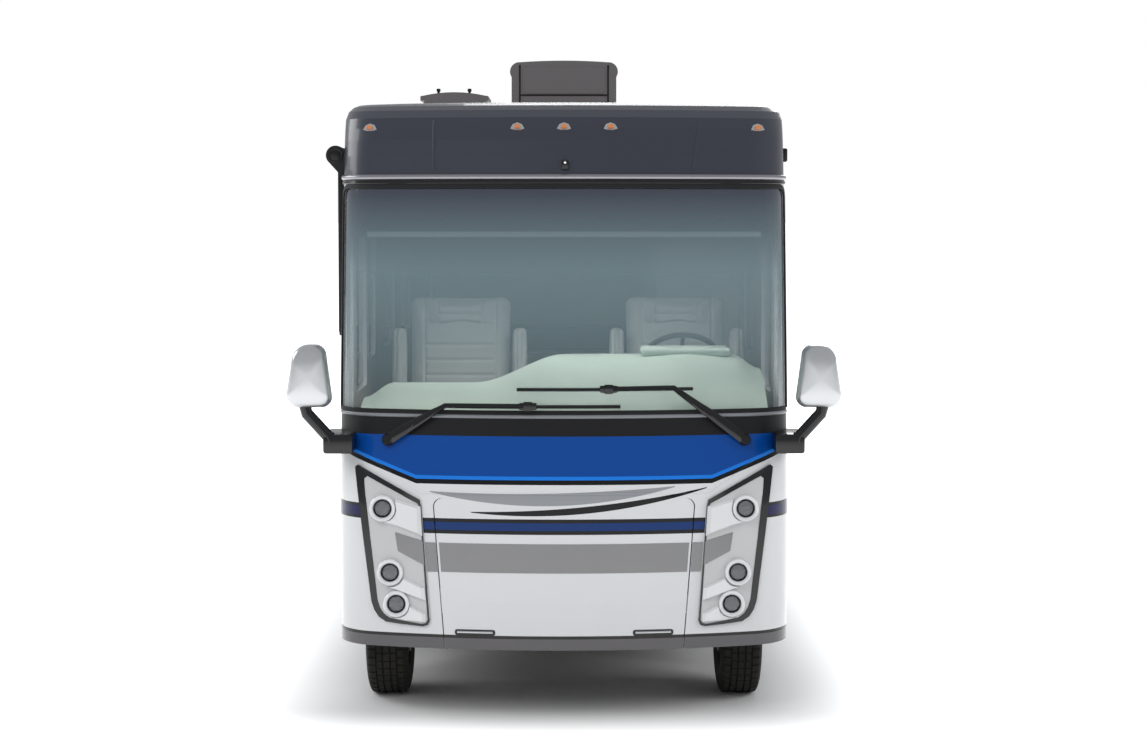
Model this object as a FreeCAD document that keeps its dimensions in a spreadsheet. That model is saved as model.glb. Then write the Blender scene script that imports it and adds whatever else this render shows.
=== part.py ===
import FreeCAD, Part
import math
import os
import Sketcher

# A front-engined Class A motorhome, about 32 feet long, in millimetres.
# The front faces -Y, the driver's side is +X and the kerb side -X.
# The origin is on the ground below the middle of the coach.
# Heights are measured from the ground and depths from the foremost plane.

SIZES = {
    # whole coach
    "coach_long": 9750,
    "body_wide": 2570,
    "wall": 50,
    "skin": 40,
    "seat_gap": 0.3,
    "seam": 6,
    "overrun": 60,
    # front moulding, from its foot up to the roof edge
    "foot_high": 430,
    "foot_deep": 30,
    "chin_high": 700,
    "chin_deep": 6,
    "bumper_high": 1050,
    "bumper_deep": 0,
    "crease_high": 1290,
    "crease_deep": 10,
    "panel_high": 1628,
    "panel_deep": 66,
    "sill_high": 1757,
    "sill_deep": 98,
    "glass_high": 2400,
    "glass_deep": 208,
    "brow_high": 3044,
    "brow_deep": 322,
    "brow_low_high": 3120,
    "brow_low_deep": 338,
    "brow_mid_high": 3200,
    "brow_mid_deep": 357,
    "fringe_high": 3290,
    "fringe_deep": 384,
    "lip_high": 3360,
    "lip_deep": 415,
    "edge_high": 3420,
    "edge_deep": 460,
    "cap_back": 800,
    "front_bow": 3650,
    "front_corner": 300,
    "brow_back": 1200,
    "roof_corner": 90,
    "crown": 22,
    # rear moulding, with depths measured from its hindmost plane
    "tail_set": 110,
    "tail_low": 620,
    "tail_low_deep": 24,
    "tail_belt_high": 1100,
    "tail_belt_deep": 0,
    "tail_top_high": 2700,
    "tail_top_deep": 22,
    "tail_edge_deep": 84,
    "tail_bow": 6000,
    "tail_corner": 190,
    "tail_back": 430,
    # chassis
    "axle_deep": 990,
    "wheel_base": 5790,
    "rail_out": 430,
    "rail_wide": 80,
    "rail_low": 700,
    "rail_high": 940,
    "rail_web": 12,
    "rail_front": 350,
    "rail_end_gap": 400,
    "joist_high": 80,
    "joist_wide": 60,
    "cross_tall": 120,
    "engine_wide": 600,
    "engine_front": 450,
    "engine_long": 900,
    "engine_low": 560,
    "engine_high": 930,
    "carrier_tall": 60,
    "gearbox_radius": 165,
    "gearbox_neck": 85,
    "gearbox_long": 620,
    "shaft_radius": 45,
    "shaft_high": 600,
    "diff_radius": 190,
    "diff_nose": 95,
    "axle_tube": 65,
    "beam_wide": 90,
    "beam_tall": 84,
    "beam_drop": 90,
    "beam_end": 760,
    "beam_slope": 620,
    "spring_wide": 70,
    "spring_half": 640,
    "spring_rise": 110,
    "spring_thick": 58,
    "spring_end": 29,
    "spring_eye": 34,
    "spring_pad_wide": 84,
    "spring_pad_long": 130,
    "spring_pad_thick": 14,
    "tank_long": 1050,
    "tank_front": 7650,
    "tank_wide": 620,
    "tank_low": 520,
    "tank_high": 900,
    "tank_round": 60,
    "pipe_radius": 42,
    "pipe_out": 225,
    "pipe_high": 620,
    "muffler_radius": 115,
    "muffler_long": 850,
    "muffler_front": 2500,
    "tail_pipe_deep": 7540,
    "tail_pipe_out": 1160,
    "tail_pipe_low": 380,
    # wheels and steering
    "tyre_radius": 419,
    "tyre_wide": 248,
    "tyre_tread": 196,
    "shoulder": 26,
    "shoulder_out": 8.7,
    "shoulder_fall": 5.2,
    "bead_radius": 247,
    "bead_wide": 190,
    "track_half": 1040,
    "twin_mid": 925,
    "twin_apart": 284,
    "rim_thick": 10,
    "disc_thick": 14,
    "disc_in": 72,
    "disc_out": 40,
    "hub_radius": 95,
    "hub_cap_radius": 62,
    "hub_cap_long": 52,
    "hand_hole": 26,
    "hand_ring": 185,
    "hand_hole_count": 8,
    "spindle_radius": 32,
    "spindle_over": 47.5,
    "bearing_gap": 0.5,
    "king_out": 850,
    "king_radius": 20,
    "boss_radius": 42,
    "boss_tall": 110,
    "fork_thick": 40,
    "fork_gap": 2,
    "plate_radius": 175,
    "plate_thick": 14,
    "arm_back": 170,
    "arm_thick": 26,
    "rod_radius": 16,
    "rod_pin": 12,
    # floor, walls and openings
    "floor_thick": 60,
    "floor_front": 450,
    "floor_nose_half": 1185,
    "arch_radius": 540,
    "skirt_low": 420,
    "door_front": 1720,
    "door_wide": 700,
    "door_low": 500,
    "door_high": 2950,
    "door_round": 90,
    "step_deep": 480,
    "step_wall": 25,
    "step_rise": 280,
    "window_round": 70,
    "cab_window_low": 1800,
    "cab_window_high": 2720,
    "cab_window_front": 950,
    "cab_window_long": 700,
    "window_low": 1950,
    "window_high": 2700,
    "glass_thick": 8,
    "galley_front": 2250,
    "galley_long": 800,
    "dinette_front": 3050,
    "dinette_long": 1000,
    "lounge_front": 4550,
    "lounge_long": 1200,
    "bed_window_front": 8050,
    "bed_window_long": 750,
    # slide room on the driver's side
    "slide_front": 3500,
    "slide_long": 2600,
    "slide_high": 3060,
    "slide_lift": 20,
    "slide_deep": 640,
    "slide_wall": 40,
    "slide_clear": 8,
    "flange": 45,
    "flange_thick": 26,
    "pane_back": 8.7,
    "flange_gap": 5,
    "runner_wide": 60,
    "topper_radius": 46,
    "topper_high": 3215,
    "topper_out": 130,
    # baggage bays
    "bay_in": 520,
    "bay_wall": 22,
    "bay_low": 450,
    "bay_first": 1760,
    "bay_right_first": 2530,
    "bay_last": 6150,
    "bay_frame": 40,
    "bay_door_thick": 34,
    # front hatch, lamps and cowl
    "hatch_top_half": 733,
    "hatch_low_half": 668,
    "hatch_high": 1283,
    "hatch_round": 50,
    "pod_proud": 10,
    "pod_deep": 60,
    "pod_tip_out": 1163,
    "pod_tip_high": 1448,
    "pod_in_out": 800,
    "pod_in_high": 1264,
    "pod_foot_in": 750,
    "pod_foot_high": 609,
    "pod_toe_in": 778,
    "pod_toe_high": 560,
    "pod_heel_out": 1011,
    "pod_heel_high": 575,
    "pod_side_out": 1075,
    "pod_side_high": 680,
    "lamp_ring": 75,
    "lamp_top_out": 1019,
    "lamp_top_high": 1219,
    "lamp_mid_out": 977,
    "lamp_mid_high": 860,
    "lamp_low_out": 942,
    "lamp_low_high": 683,
    "shield_wrap": 385,
    "shield_top": 3026,
    "shield_round": 90,
    "shield_thick": 10,
    "shield_in": 8,
    # small outside pieces
    "marker_wide": 110,
    "marker_tall": 34,
    "marker_proud": 26,
    "marker_high": 3362,
    "marker_mid": 265,
    "marker_out": 1115,
    "tail_lamp_wide": 150,
    "tail_lamp_tall": 520,
    "tail_lamp_out": 930,
    "tail_lamp_low": 900,
    "tail_lamp_proud": 20,
    "mirror_in": 1303,
    "mirror_out": 1556,
    "mirror_taper": 26,
    "mirror_low": 1784,
    "mirror_high": 2138,
    "mirror_deep": 130,
    "mirror_back": 200,
    "mirror_round": 60,
    "bracket_in": 1180,
    "bracket_out": 1352,
    "bracket_low": 1525,
    "bracket_high": 1638,
    "bracket_deep": 75,
    "mirror_arm": 26,
    "mirror_arm_low": 1600,
    "mirror_arm_high": 1770,
    "mirror_arm_in": 1320,
    "mirror_arm_out": 1452,
    "wiper_rod": 9,
    "wiper_lift": 16,
    "wiper_knob_long": 48,
    "wiper_base_high": 1690,
    "wiper_knob": 22,
    "left_wiper_base": 1000,
    "left_wiper_elbow": 603,
    "left_wiper_high": 1885,
    "left_blade_from": 720,
    "left_blade_to": -263,
    "right_wiper_base": -960,
    "right_wiper_elbow": -654,
    "right_wiper_high": 1790,
    "right_blade_from": -676,
    "right_blade_to": 313,
    "cooler_half": 362,
    "cooler_front": 3200,
    "cooler_long": 1000,
    "cooler_tall": 392,
    "cooler_taper": 60,
    "cooler_round": 90,
    "vent_in": 520,
    "vent_wide": 470,
    "vent_front": 3150,
    "vent_long": 560,
    "vent_tall": 172,
    "vent_lid": 58,
    "vent_brim": 26,
    "awning_front": 1500,
    "awning_long": 5100,
    "awning_radius": 46,
    "awning_high": 3171,
    "awning_out": 62,
    "awning_arm": 34,
    "awning_arm_low": 2171,
    "awning_arm_set": 60,
    "ladder_out": 800,
    "ladder_in": 420,
    "ladder_low": 1050,
    "ladder_rod": 14,
    "ladder_rung": 11,
    "ladder_off": 70,
    "ladder_rungs": 7,
    "bumper_tall": 200,
    "bumper_thick": 130,
    "bumper_round": 160,
    "receiver_tube": 64,
    "receiver_bore": 51,
    "receiver_long": 320,
    "receiver_pin": 15.9,
    "receiver_pin_in": 64,
    # cab inside
    "dash_half": 1190,
    "dash_front": 330,
    "dash_low_back": 640,
    "dash_knee_high": 1420,
    "dash_back": 1010,
    "dash_high": 1890,
    "dash_front_high": 1730,
    "dash_lip": 60,
    "dash_lip_high": 1710,
    "binnacle_in": -40,
    "binnacle_high": 2050,
    "binnacle_front": 760,
    "wheel_out": 715,
    "wheel_deep": 1250,
    "wheel_high": 2000,
    "wheel_radius": 218,
    "wheel_rim": 16,
    "wheel_spoke": 12,
    "wheel_tilt": 40,
    "wheel_hub": 58,
    "wheel_hub_long": 46,
    "column_radius": 30,
    "cabinet_half": 1165,
    "cabinet_low": 2740,
    "cabinet_front": 430,
    "cabinet_back": 900,
    "seat_half": 280,
    "seat_driver": 710,
    "seat_mate": -656,
    "seat_front": 1330,
    "seat_back": 1880,
    "seat_low": 1400,
    "seat_high": 1560,
    "seat_top": 2380,
    "seat_back_thick": 150,
    "seat_recline": 90,
    "seat_post": 150,
    "seat_arm_high": 1760,
    "seat_arm_low": 1690,
    "seat_arm": 62,
    "seat_arm_front": 1420,
}

# shares of the roof corner's turn and of the crown's half width, from the side up,
# each with the share of the way back from the roof edge to the moulding's seam
CORNER_TURN_SHARES = ((0, 0), (30, 0.09), (55, 0.18), (75, 0.26), (86, 0.31))
CROWN_SHARES = ((0.86, 0.39), (0.62, 0.56), (0.42, 0.7))
LADDER_FOOT_SHARES = (0.125, 0.5, 0.875)
WIPER_SHARES = (0, 0.25, 0.5, 0.75, 1)
SPOKE_TURNS = (0, 180, 270)
HALF = 0.5
HALF_TURN_SHARE = math.sqrt(0.5)

doc = FreeCAD.newDocument("motorhome")
sheet = doc.addObject("Spreadsheet::Sheet", "Sizes")
for row, (name, value) in enumerate(SIZES.items(), start=1):
    sheet.set(f"A{row}", name)
    sheet.set(f"B{row}", str(value))
    sheet.setAlias(f"B{row}", name)
doc.recompute()


class Size:
    """A number together with the sheet formula that gives it."""

    def __init__(self, number, formula):
        self.number = float(number)
        self.formula = formula

    def __float__(self):
        return self.number

    def joined(self, other, sign, number):
        return Size(number, f"({self.formula} {sign} {size(other).formula})")

    def __add__(self, other):
        return self.joined(other, "+", self.number + float(other))

    def __radd__(self, other):
        return size(other) + self

    def __sub__(self, other):
        return self.joined(other, "-", self.number - float(other))

    def __rsub__(self, other):
        return size(other) - self

    def __mul__(self, other):
        return self.joined(other, "*", self.number * float(other))

    def __rmul__(self, other):
        return size(other) * self

    def __truediv__(self, other):
        return self.joined(other, "/", self.number / float(other))

    def __neg__(self):
        return Size(-self.number, f"(0 - {self.formula})")


def size(value):
    """The value as a Size, a plain number being its own formula."""
    if isinstance(value, Size):
        return value
    return Size(value, f"({value})")


class Sheet:
    """Reads a size from the sheet by its alias."""

    def __getattr__(self, name):
        return Size(getattr(sheet, name), f"{sheet.Name}.{name}")


S = Sheet()
half = S.body_wide / 2
front = -S.coach_long / 2
rear = S.coach_long / 2
wall_in = half - S.wall
skirt_in = half - S.skin
floor_low = S.rail_high + S.joist_high
floor_high = floor_low + S.floor_thick
body_end = rear - S.tail_set - S.tail_back
roof_high = S.edge_high + S.roof_corner + S.crown


def back(depth):
    """The y of a depth measured from the foremost plane."""
    return front + depth


# Making shapes

def bind(thing, place, value):
    """Sets one property from the sheet."""
    thing.setExpression(place, size(value).formula)


def place(thing, x=0, y=0, z=0):
    """Puts an object at a point that follows the sheet."""
    for axis, value in zip("xyz", (x, y, z)):
        if isinstance(value, Size):
            bind(thing, f"Placement.Base.{axis}", value)
    return thing


def block(name, x, y, z):
    """A box between two values on each axis."""
    box = doc.addObject("Part::Box", name)
    for prop, (low, high) in zip(("Length", "Width", "Height"), (x, y, z)):
        bind(box, prop, size(high) - low)
    return place(box, size(x[0]), size(y[0]), size(z[0]))


AXES = {
    "x": FreeCAD.Rotation(FreeCAD.Vector(0, 1, 0), 90),
    "y": FreeCAD.Rotation(FreeCAD.Vector(1, 0, 0), -90),
    "z": FreeCAD.Rotation(),
}


def rod(name, axis, radius, start, length):
    """A round bar along an axis from its start point."""
    bar = doc.addObject("Part::Cylinder", name)
    bar.Placement = FreeCAD.Placement(FreeCAD.Vector(), AXES[axis])
    bind(bar, "Radius", radius)
    bind(bar, "Height", length)
    return place(bar, *[size(value) for value in start])


def cone(name, axis, radii, start, length):
    """A tapered bar along an axis from its start point."""
    bar = doc.addObject("Part::Cone", name)
    bar.Placement = FreeCAD.Placement(FreeCAD.Vector(), AXES[axis])
    bind(bar, "Radius1", radii[0])
    bind(bar, "Radius2", radii[1])
    bind(bar, "Height", length)
    return place(bar, *[size(value) for value in start])


def ball(name, radius, centre):
    """A ball about its centre."""
    lump = doc.addObject("Part::Sphere", name)
    bind(lump, "Radius", radius)
    return place(lump, *[size(value) for value in centre])


def joined(name, pieces):
    """The pieces as one."""
    fused = doc.addObject("Part::MultiFuse", name)
    fused.Shapes = pieces
    return fused


def cut(name, base, tools):
    """The base less the tools."""
    tool = tools[0] if len(tools) == 1 else joined(f"{name}_tools", tools)
    left = doc.addObject("Part::Cut", name)
    left.Base = base
    left.Tool = tool
    return left


def shared(name, pieces):
    """What the pieces have in common."""
    common = doc.addObject("Part::MultiCommon", name)
    common.Shapes = pieces
    return common


def mirrored(name, piece):
    """The piece on the other side of the coach."""
    image = doc.addObject("Part::Mirroring", name)
    image.Source = piece
    image.Normal = FreeCAD.Vector(1, 0, 0)
    return image


def grouped(name, pieces):
    """Like pieces that don't touch, kept as one node."""
    together = doc.addObject("Part::Compound", name)
    together.Links = pieces
    return together


def formed(name, shape):
    """A moulded shape that no plain feature gives."""
    feature = doc.addObject("Part::Feature", name)
    feature.Shape = shape
    return feature


def round_box(u, v, corner):
    """An outline with four rounded corners, between two values each way."""
    (u0, u1), (v0, v1) = u, v
    inset = corner * (1 - HALF_TURN_SHARE)
    return [
        (u0 + corner, v0),
        (u1 - corner, v0),
        (u1, v0 + corner, u1 - inset, v0 + inset),
        (u1, v1 - corner),
        (u1 - corner, v1, u1 - inset, v1 - inset),
        (u0 + corner, v1),
        (u0, v1 - corner, u0 + inset, v1 - inset),
        (u0, v0 + corner),
        (u0 + corner, v0, u0 + inset, v0 + inset),
    ][:-1] + [("close", u0 + inset, v0 + inset)]


def pin_point(sketch, geometry, end, u, v):
    """Holds one point of a sketch at two sheet values."""
    for kind, value in (("DistanceX", size(u)), ("DistanceY", size(v))):
        index = sketch.addConstraint(Sketcher.Constraint(kind, -1, 1, geometry, end, float(value)))
        if "Sizes." in value.formula:
            bind(sketch, f"Constraints[{index}]", value)


def draw_outline(sketch, outline):
    """Draws a closed outline: (u, v) is a line to a point, and two more values bend it through them."""
    closing = None
    points = list(outline)
    if points[-1][0] == "close":
        closing = points.pop()[1:]
    points.append(tuple(points[0][:2]) + (closing or ()))
    ends = []
    for start, end in zip(points, points[1:]):
        a = FreeCAD.Vector(float(start[0]), float(start[1]), 0)
        b = FreeCAD.Vector(float(end[0]), float(end[1]), 0)
        if len(end) == 2:
            index = sketch.addGeometry(Part.LineSegment(a, b), False)
            ends.append((index, 1, 2))
            continue
        through = FreeCAD.Vector(float(end[2]), float(end[3]), 0)
        forward = (through - a).cross(b - through).z > 0
        arc = Part.Arc(a, through, b) if forward else Part.Arc(b, through, a)
        index = sketch.addGeometry(arc, False)
        ends.append((index, 1, 2) if forward else (index, 2, 1))
        point = sketch.addGeometry(Part.Point(through), True)
        pin_point(sketch, point, 1, end[2], end[3])
        sketch.addConstraint(Sketcher.Constraint("PointOnObject", point, 1, index))
    for number, (index, first, last) in enumerate(ends):
        following = ends[(number + 1) % len(ends)]
        sketch.addConstraint(Sketcher.Constraint("Coincident", index, last, following[0], following[1]))
        pin_point(sketch, index, first, points[number][0], points[number][1])


def draw_circle(sketch, u, v, radius):
    """Draws a circle held by its centre and radius."""
    centre = FreeCAD.Vector(float(u), float(v), 0)
    index = sketch.addGeometry(Part.Circle(centre, FreeCAD.Vector(0, 0, 1), float(radius)), False)
    pin_point(sketch, index, 3, u, v)
    held = sketch.addConstraint(Sketcher.Constraint("Radius", index, float(radius)))
    bind(sketch, f"Constraints[{held}]", radius)


def start_body(name, plane, outlines, circles=()):
    """A body with one sketch on one of its origin planes."""
    body = doc.addObject("PartDesign::Body", name)
    sketch = body.newObject("Sketcher::SketchObject", f"{name}_outline")
    origin_plane = [part for part in body.Origin.OriginFeatures if part.Role == plane][0]
    sketch.AttachmentSupport = [(origin_plane, "")]
    sketch.MapMode = "FlatFace"
    for outline in outlines:
        draw_outline(sketch, outline)
    for circle in circles:
        draw_circle(sketch, *circle)
    return body, sketch


def pad(name, plane, outlines, thick, circles=()):
    """A body that is its outline made thick."""
    body, sketch = start_body(name, plane, outlines, circles)
    feature = body.newObject("PartDesign::Pad", f"{name}_pad")
    feature.Profile = sketch
    bind(feature, "Length", thick)
    return body


def side_panel(name, x, outlines, circles=()):
    """A panel across X, drawn in y and z."""
    return place(pad(name, "YZ_Plane", outlines, size(x[1]) - x[0], circles), x=size(x[0]))


def front_panel(name, y, outlines, circles=()):
    """A panel across Y, drawn in x and z."""
    return place(pad(name, "XZ_Plane", outlines, size(y[1]) - y[0], circles), y=size(y[1]))


def flat_panel(name, z, outlines, circles=()):
    """A panel across Z, drawn in x and y."""
    return place(pad(name, "XY_Plane", outlines, size(z[1]) - z[0], circles), z=size(z[0]))


def turned(name, outlines):
    """A round piece whose outline, in x and z, is turned about the X axis."""
    body, sketch = start_body(name, "XZ_Plane", outlines)
    feature = body.newObject("PartDesign::Revolution", f"{name}_turn")
    feature.Profile = sketch
    feature.ReferenceAxis = (sketch, ["H_Axis"])
    feature.Angle = 360
    return body


def rectangle(u, v):
    """A square-cornered outline between two values each way."""
    return [(u[0], v[0]), (u[1], v[0]), (u[1], v[1]), (u[0], v[1])]


# The rounded mouldings at the two ends

def plan_arcs(half_wide, reach, bow, corner):
    """Where a moulding's bow meets its corner arc, and the corner's middle and end."""
    centre = reach + bow
    corner_x = half_wide - corner
    corner_y = centre - math.sqrt((bow - corner) ** 2 - corner_x ** 2)
    meet = bow / (bow - corner)
    meet_x, meet_y = corner_x * meet, centre + (corner_y - centre) * meet
    turn = (math.atan2(meet_y - corner_y, meet_x - corner_x)) * HALF
    mid = (corner_x + corner * math.cos(turn), corner_y + corner * math.sin(turn))
    return (meet_x, meet_y), mid, (half_wide, corner_y)


def plan_wire(half_wide, reach, bow, corner, seam, level):
    """A moulding's outline at one height, with depths measured from its end."""
    right = [FreeCAD.Vector(x, y, level) for x, y in plan_arcs(half_wide, reach, bow, corner)]
    left = [FreeCAD.Vector(-point.x, point.y, level) for point in right]
    seams = [FreeCAD.Vector(sign * half_wide, seam, level) for sign in (-1, 1)]
    return Part.Wire([
        Part.LineSegment(seams[0], left[2]).toShape(),
        Part.Arc(left[2], left[1], left[0]).toShape(),
        Part.Arc(left[0], FreeCAD.Vector(0, reach, level), right[0]).toShape(),
        Part.Arc(right[0], right[1], right[2]).toShape(),
        Part.LineSegment(right[2], seams[1]).toShape(),
        Part.LineSegment(seams[1], seams[0]).toShape(),
    ])



def cap_levels(profile, seam, inset):
    """Heights, depths and half widths of a moulding, up over the roof edge."""
    half_wide = float(half) - inset
    levels = [(float(high), float(deep) + inset, half_wide) for high, deep in profile]
    edge_high, edge_deep = (float(value) for value in profile[-1])
    corner = float(S.roof_corner)
    way = seam - edge_deep
    for degrees, share in CORNER_TURN_SHARES[1:]:
        turn = math.radians(degrees)
        rise = corner * math.sin(turn)
        wide = float(half) - corner * (1 - math.cos(turn))
        levels.append((edge_high + rise - inset * rise / corner, edge_deep + way * share + inset, wide - inset))
    last_rise = corner * math.sin(math.radians(CORNER_TURN_SHARES[-1][0]))
    last_wide = levels[-1][2]
    for wide_share, share in CROWN_SHARES:
        rise = last_rise + float(S.crown) * (1 - wide_share ** 2)
        levels.append((edge_high + rise - inset, edge_deep + way * share + inset, last_wide * wide_share))
    return levels


def cap_block(profile, bow, corner, seam, inset):
    """The solid inside a moulding's skin, set in from it by the inset."""
    edge_deep = float(profile[-1][1])
    wires = []
    for level, reach, half_wide in cap_levels(profile, seam, inset):
        left = min(1, (seam - reach) / (seam - edge_deep))
        wires.append(plan_wire(half_wide, reach, bow - inset, (corner - inset) * left, seam, level))
    return Part.makeLoft(wires, True, True)


FRONT_PROFILE = [
    (S.foot_high, S.foot_deep),
    (S.chin_high, S.chin_deep),
    (S.bumper_high, S.bumper_deep),
    (S.crease_high, S.crease_deep),
    (S.panel_high, S.panel_deep),
    (S.sill_high, S.sill_deep),
    (S.glass_high, S.glass_deep),
    (S.brow_high, S.brow_deep),
    (S.brow_low_high, S.brow_low_deep),
    (S.brow_mid_high, S.brow_mid_deep),
    (S.fringe_high, S.fringe_deep),
    (S.lip_high, S.lip_deep),
    (S.edge_high, S.edge_deep),
]
REAR_PROFILE = [
    (S.tail_low, S.tail_low_deep),
    (S.tail_belt_high, S.tail_belt_deep),
    (S.tail_top_high, S.tail_top_deep),
    (S.edge_high, S.tail_edge_deep),
]


def front_block(name, inset):
    """The front moulding's outside, set in by a length."""
    shape = cap_block(FRONT_PROFILE, float(S.front_bow), float(S.front_corner), float(S.brow_back),
                      float(inset))
    return place(formed(name, shape), y=front)


def rear_block(name, inset):
    """The rear moulding's outside, set in by a length."""
    shape = cap_block(REAR_PROFILE, float(S.tail_bow), float(S.tail_corner), float(S.tail_back), float(inset))
    shape = shape.mirror(FreeCAD.Vector(), FreeCAD.Vector(0, 1, 0))
    return place(formed(name, shape), y=rear - S.tail_set)


def skin_depth(x, level):
    """The depth of the front moulding's outside at a place across and a height."""
    pairs = [(float(high), float(deep)) for high, deep in FRONT_PROFILE]
    for (low, low_deep), (high, high_deep) in zip(pairs, pairs[1:]):
        if low <= level <= high:
            reach = low_deep + (high_deep - low_deep) * (level - low) / (high - low)
    bow, corner = float(S.front_bow), float(S.front_corner)
    (meet_x, _), _, (_, end_y) = plan_arcs(float(half), reach, bow, corner)
    if abs(x) <= meet_x:
        return reach + bow - math.sqrt(bow ** 2 - x ** 2)
    return end_y - math.sqrt(corner ** 2 - (abs(x) - float(half) + corner) ** 2)


NODES = {}


def keep(name, thing):
    """Names a finished sub-part, which gets a file of its own."""
    thing.Label = name
    NODES[name] = thing
    return thing


# Chassis

axle_front = back(S.axle_deep)
axle_rear = axle_front + S.wheel_base
rail_in = S.rail_out - S.rail_wide
rail_back = rear - S.rail_end_gap
engine_back = back(S.engine_front + S.engine_long)
bay_top = S.rail_high


def frame_rails():
    """Two channel rails with cross members and an engine carrier."""
    pieces = []
    for side in (-1, 1):
        outer, inner = side * S.rail_out, side * rail_in
        web = side * (S.rail_out - S.rail_web)
        channel = [
            (outer, S.rail_low), (inner, S.rail_low), (inner, S.rail_low + S.rail_web),
            (web, S.rail_low + S.rail_web), (web, S.rail_high - S.rail_web),
            (inner, S.rail_high - S.rail_web), (inner, S.rail_high), (outer, S.rail_high),
        ]
        pieces.append(front_panel(f"rail_{side + 1}", (back(S.rail_front), rail_back), [channel]))
    across = (-(S.rail_out - S.rail_web), S.rail_out - S.rail_web)
    high = (S.rail_high - S.cross_tall, S.rail_high)
    wheel_gap = S.arch_radius + S.joist_wide
    stations = {
        "nose": back(S.rail_front), "bulkhead": engine_back + S.joist_wide,
        "front": back(S.bay_right_first - S.joist_wide * 2), "middle": (axle_front + axle_rear) / 2,
        "back": axle_rear - wheel_gap, "tank": back(S.tank_front - S.joist_wide * 2),
        "tail": rail_back - S.joist_wide,
    }
    for name, y in stations.items():
        pieces.append(block(f"cross_{name}", across, (y, y + S.joist_wide), high))
    mount = engine_back - S.engine_long / 2
    mount_y = (mount - S.joist_wide, mount + S.joist_wide)
    pieces.append(block("engine_carrier", (-rail_in, rail_in), mount_y,
                        (S.engine_low - S.carrier_tall, S.engine_low)))
    for side in (-1, 1):
        ends = sorted((side * rail_in, side * (rail_in - S.rail_web)), key=float)
        pieces.append(block(f"carrier_strap_{side + 1}", ends, mount_y,
                            (S.engine_low - S.carrier_tall, S.rail_low + S.rail_web)))
    return keep("frame_rails", joined("frame", pieces))


def floor_joists():
    """The joists that lie across the rails and carry the floor."""
    wheel_gap = S.arch_radius + S.joist_wide
    joist_y = [
        back(S.cap_back), back(S.door_front) - S.joist_wide * 2,
        back(S.door_front + S.door_wide + S.step_wall) + S.joist_wide / 2, (axle_front + axle_rear) / 2,
        back(S.bay_last) - S.joist_wide * 2, axle_rear + wheel_gap,
        (axle_rear + body_end) / 2, body_end - S.joist_wide,
    ]
    joists = []
    for number, y in enumerate(joist_y):
        joists.append(block(f"joist_{number}", (-skirt_in, skirt_in), (y, y + S.joist_wide),
                            (S.rail_high, floor_low)))
    return keep("floor_joists", grouped("joists", joists))


def engine():
    """The engine as one plain block."""
    return keep("engine", block("engine_block", (-S.engine_wide / 2, S.engine_wide / 2),
                                (back(S.engine_front), engine_back), (S.engine_low, S.engine_high)))


def driveline():
    """The gearbox and the propeller shaft back to the rear axle."""
    box_back = engine_back + S.gearbox_long
    shaft_end = axle_rear - S.diff_radius - S.diff_nose
    pieces = [
        cone("gearbox", "y", (S.gearbox_radius, S.gearbox_neck), (0, engine_back, S.shaft_high),
             S.gearbox_long),
        rod("shaft", "y", S.shaft_radius, (0, box_back, S.shaft_high), shaft_end - box_back),
        rod("shaft_flange", "y", S.gearbox_neck, (0, shaft_end - S.joist_wide / 2, S.shaft_high),
            S.joist_wide / 2),
    ]
    return keep("driveline", joined("driveline_parts", pieces))


def spring(name, x, y, seat):
    """A leaf spring on its axle seat, with its eyes hung from a frame rail."""
    eye_high = seat + S.spring_rise + S.spring_thick
    mid = seat + S.spring_thick
    half_leaf = S.spring_end / 2
    outline = [
        (-S.spring_half, eye_high - half_leaf),
        (S.spring_half, eye_high - half_leaf, 0, seat),
        (S.spring_half, eye_high + half_leaf),
        (-S.spring_half, eye_high + half_leaf, 0, mid),
    ]
    leaf = side_panel(f"{name}_leaf", (x - S.spring_wide / 2, x + S.spring_wide / 2), [outline])
    place(leaf, y=y, x=x - S.spring_wide / 2)
    pad = S.spring_pad_thick
    pieces = [leaf, block(f"{name}_pad", (x - S.spring_pad_wide / 2, x + S.spring_pad_wide / 2),
                          (y - S.spring_pad_long / 2, y + S.spring_pad_long / 2), (seat - pad, mid + pad))]
    for end in (-1, 1):
        eye_y = y + end * S.spring_half
        pieces.append(rod(f"{name}_eye_{end + 1}", "x", S.spring_eye,
                          (x - S.spring_wide / 2, eye_y, eye_high), S.spring_wide))
        pieces.append(block(f"{name}_hanger_{end + 1}", (x - S.spring_wide / 2, x + S.spring_wide / 2),
                            (eye_y - S.spring_eye / 2, eye_y + S.spring_eye / 2), (eye_high, S.rail_low)))
    return pieces


spring_mid = rail_in + S.rail_wide / 2


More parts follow.
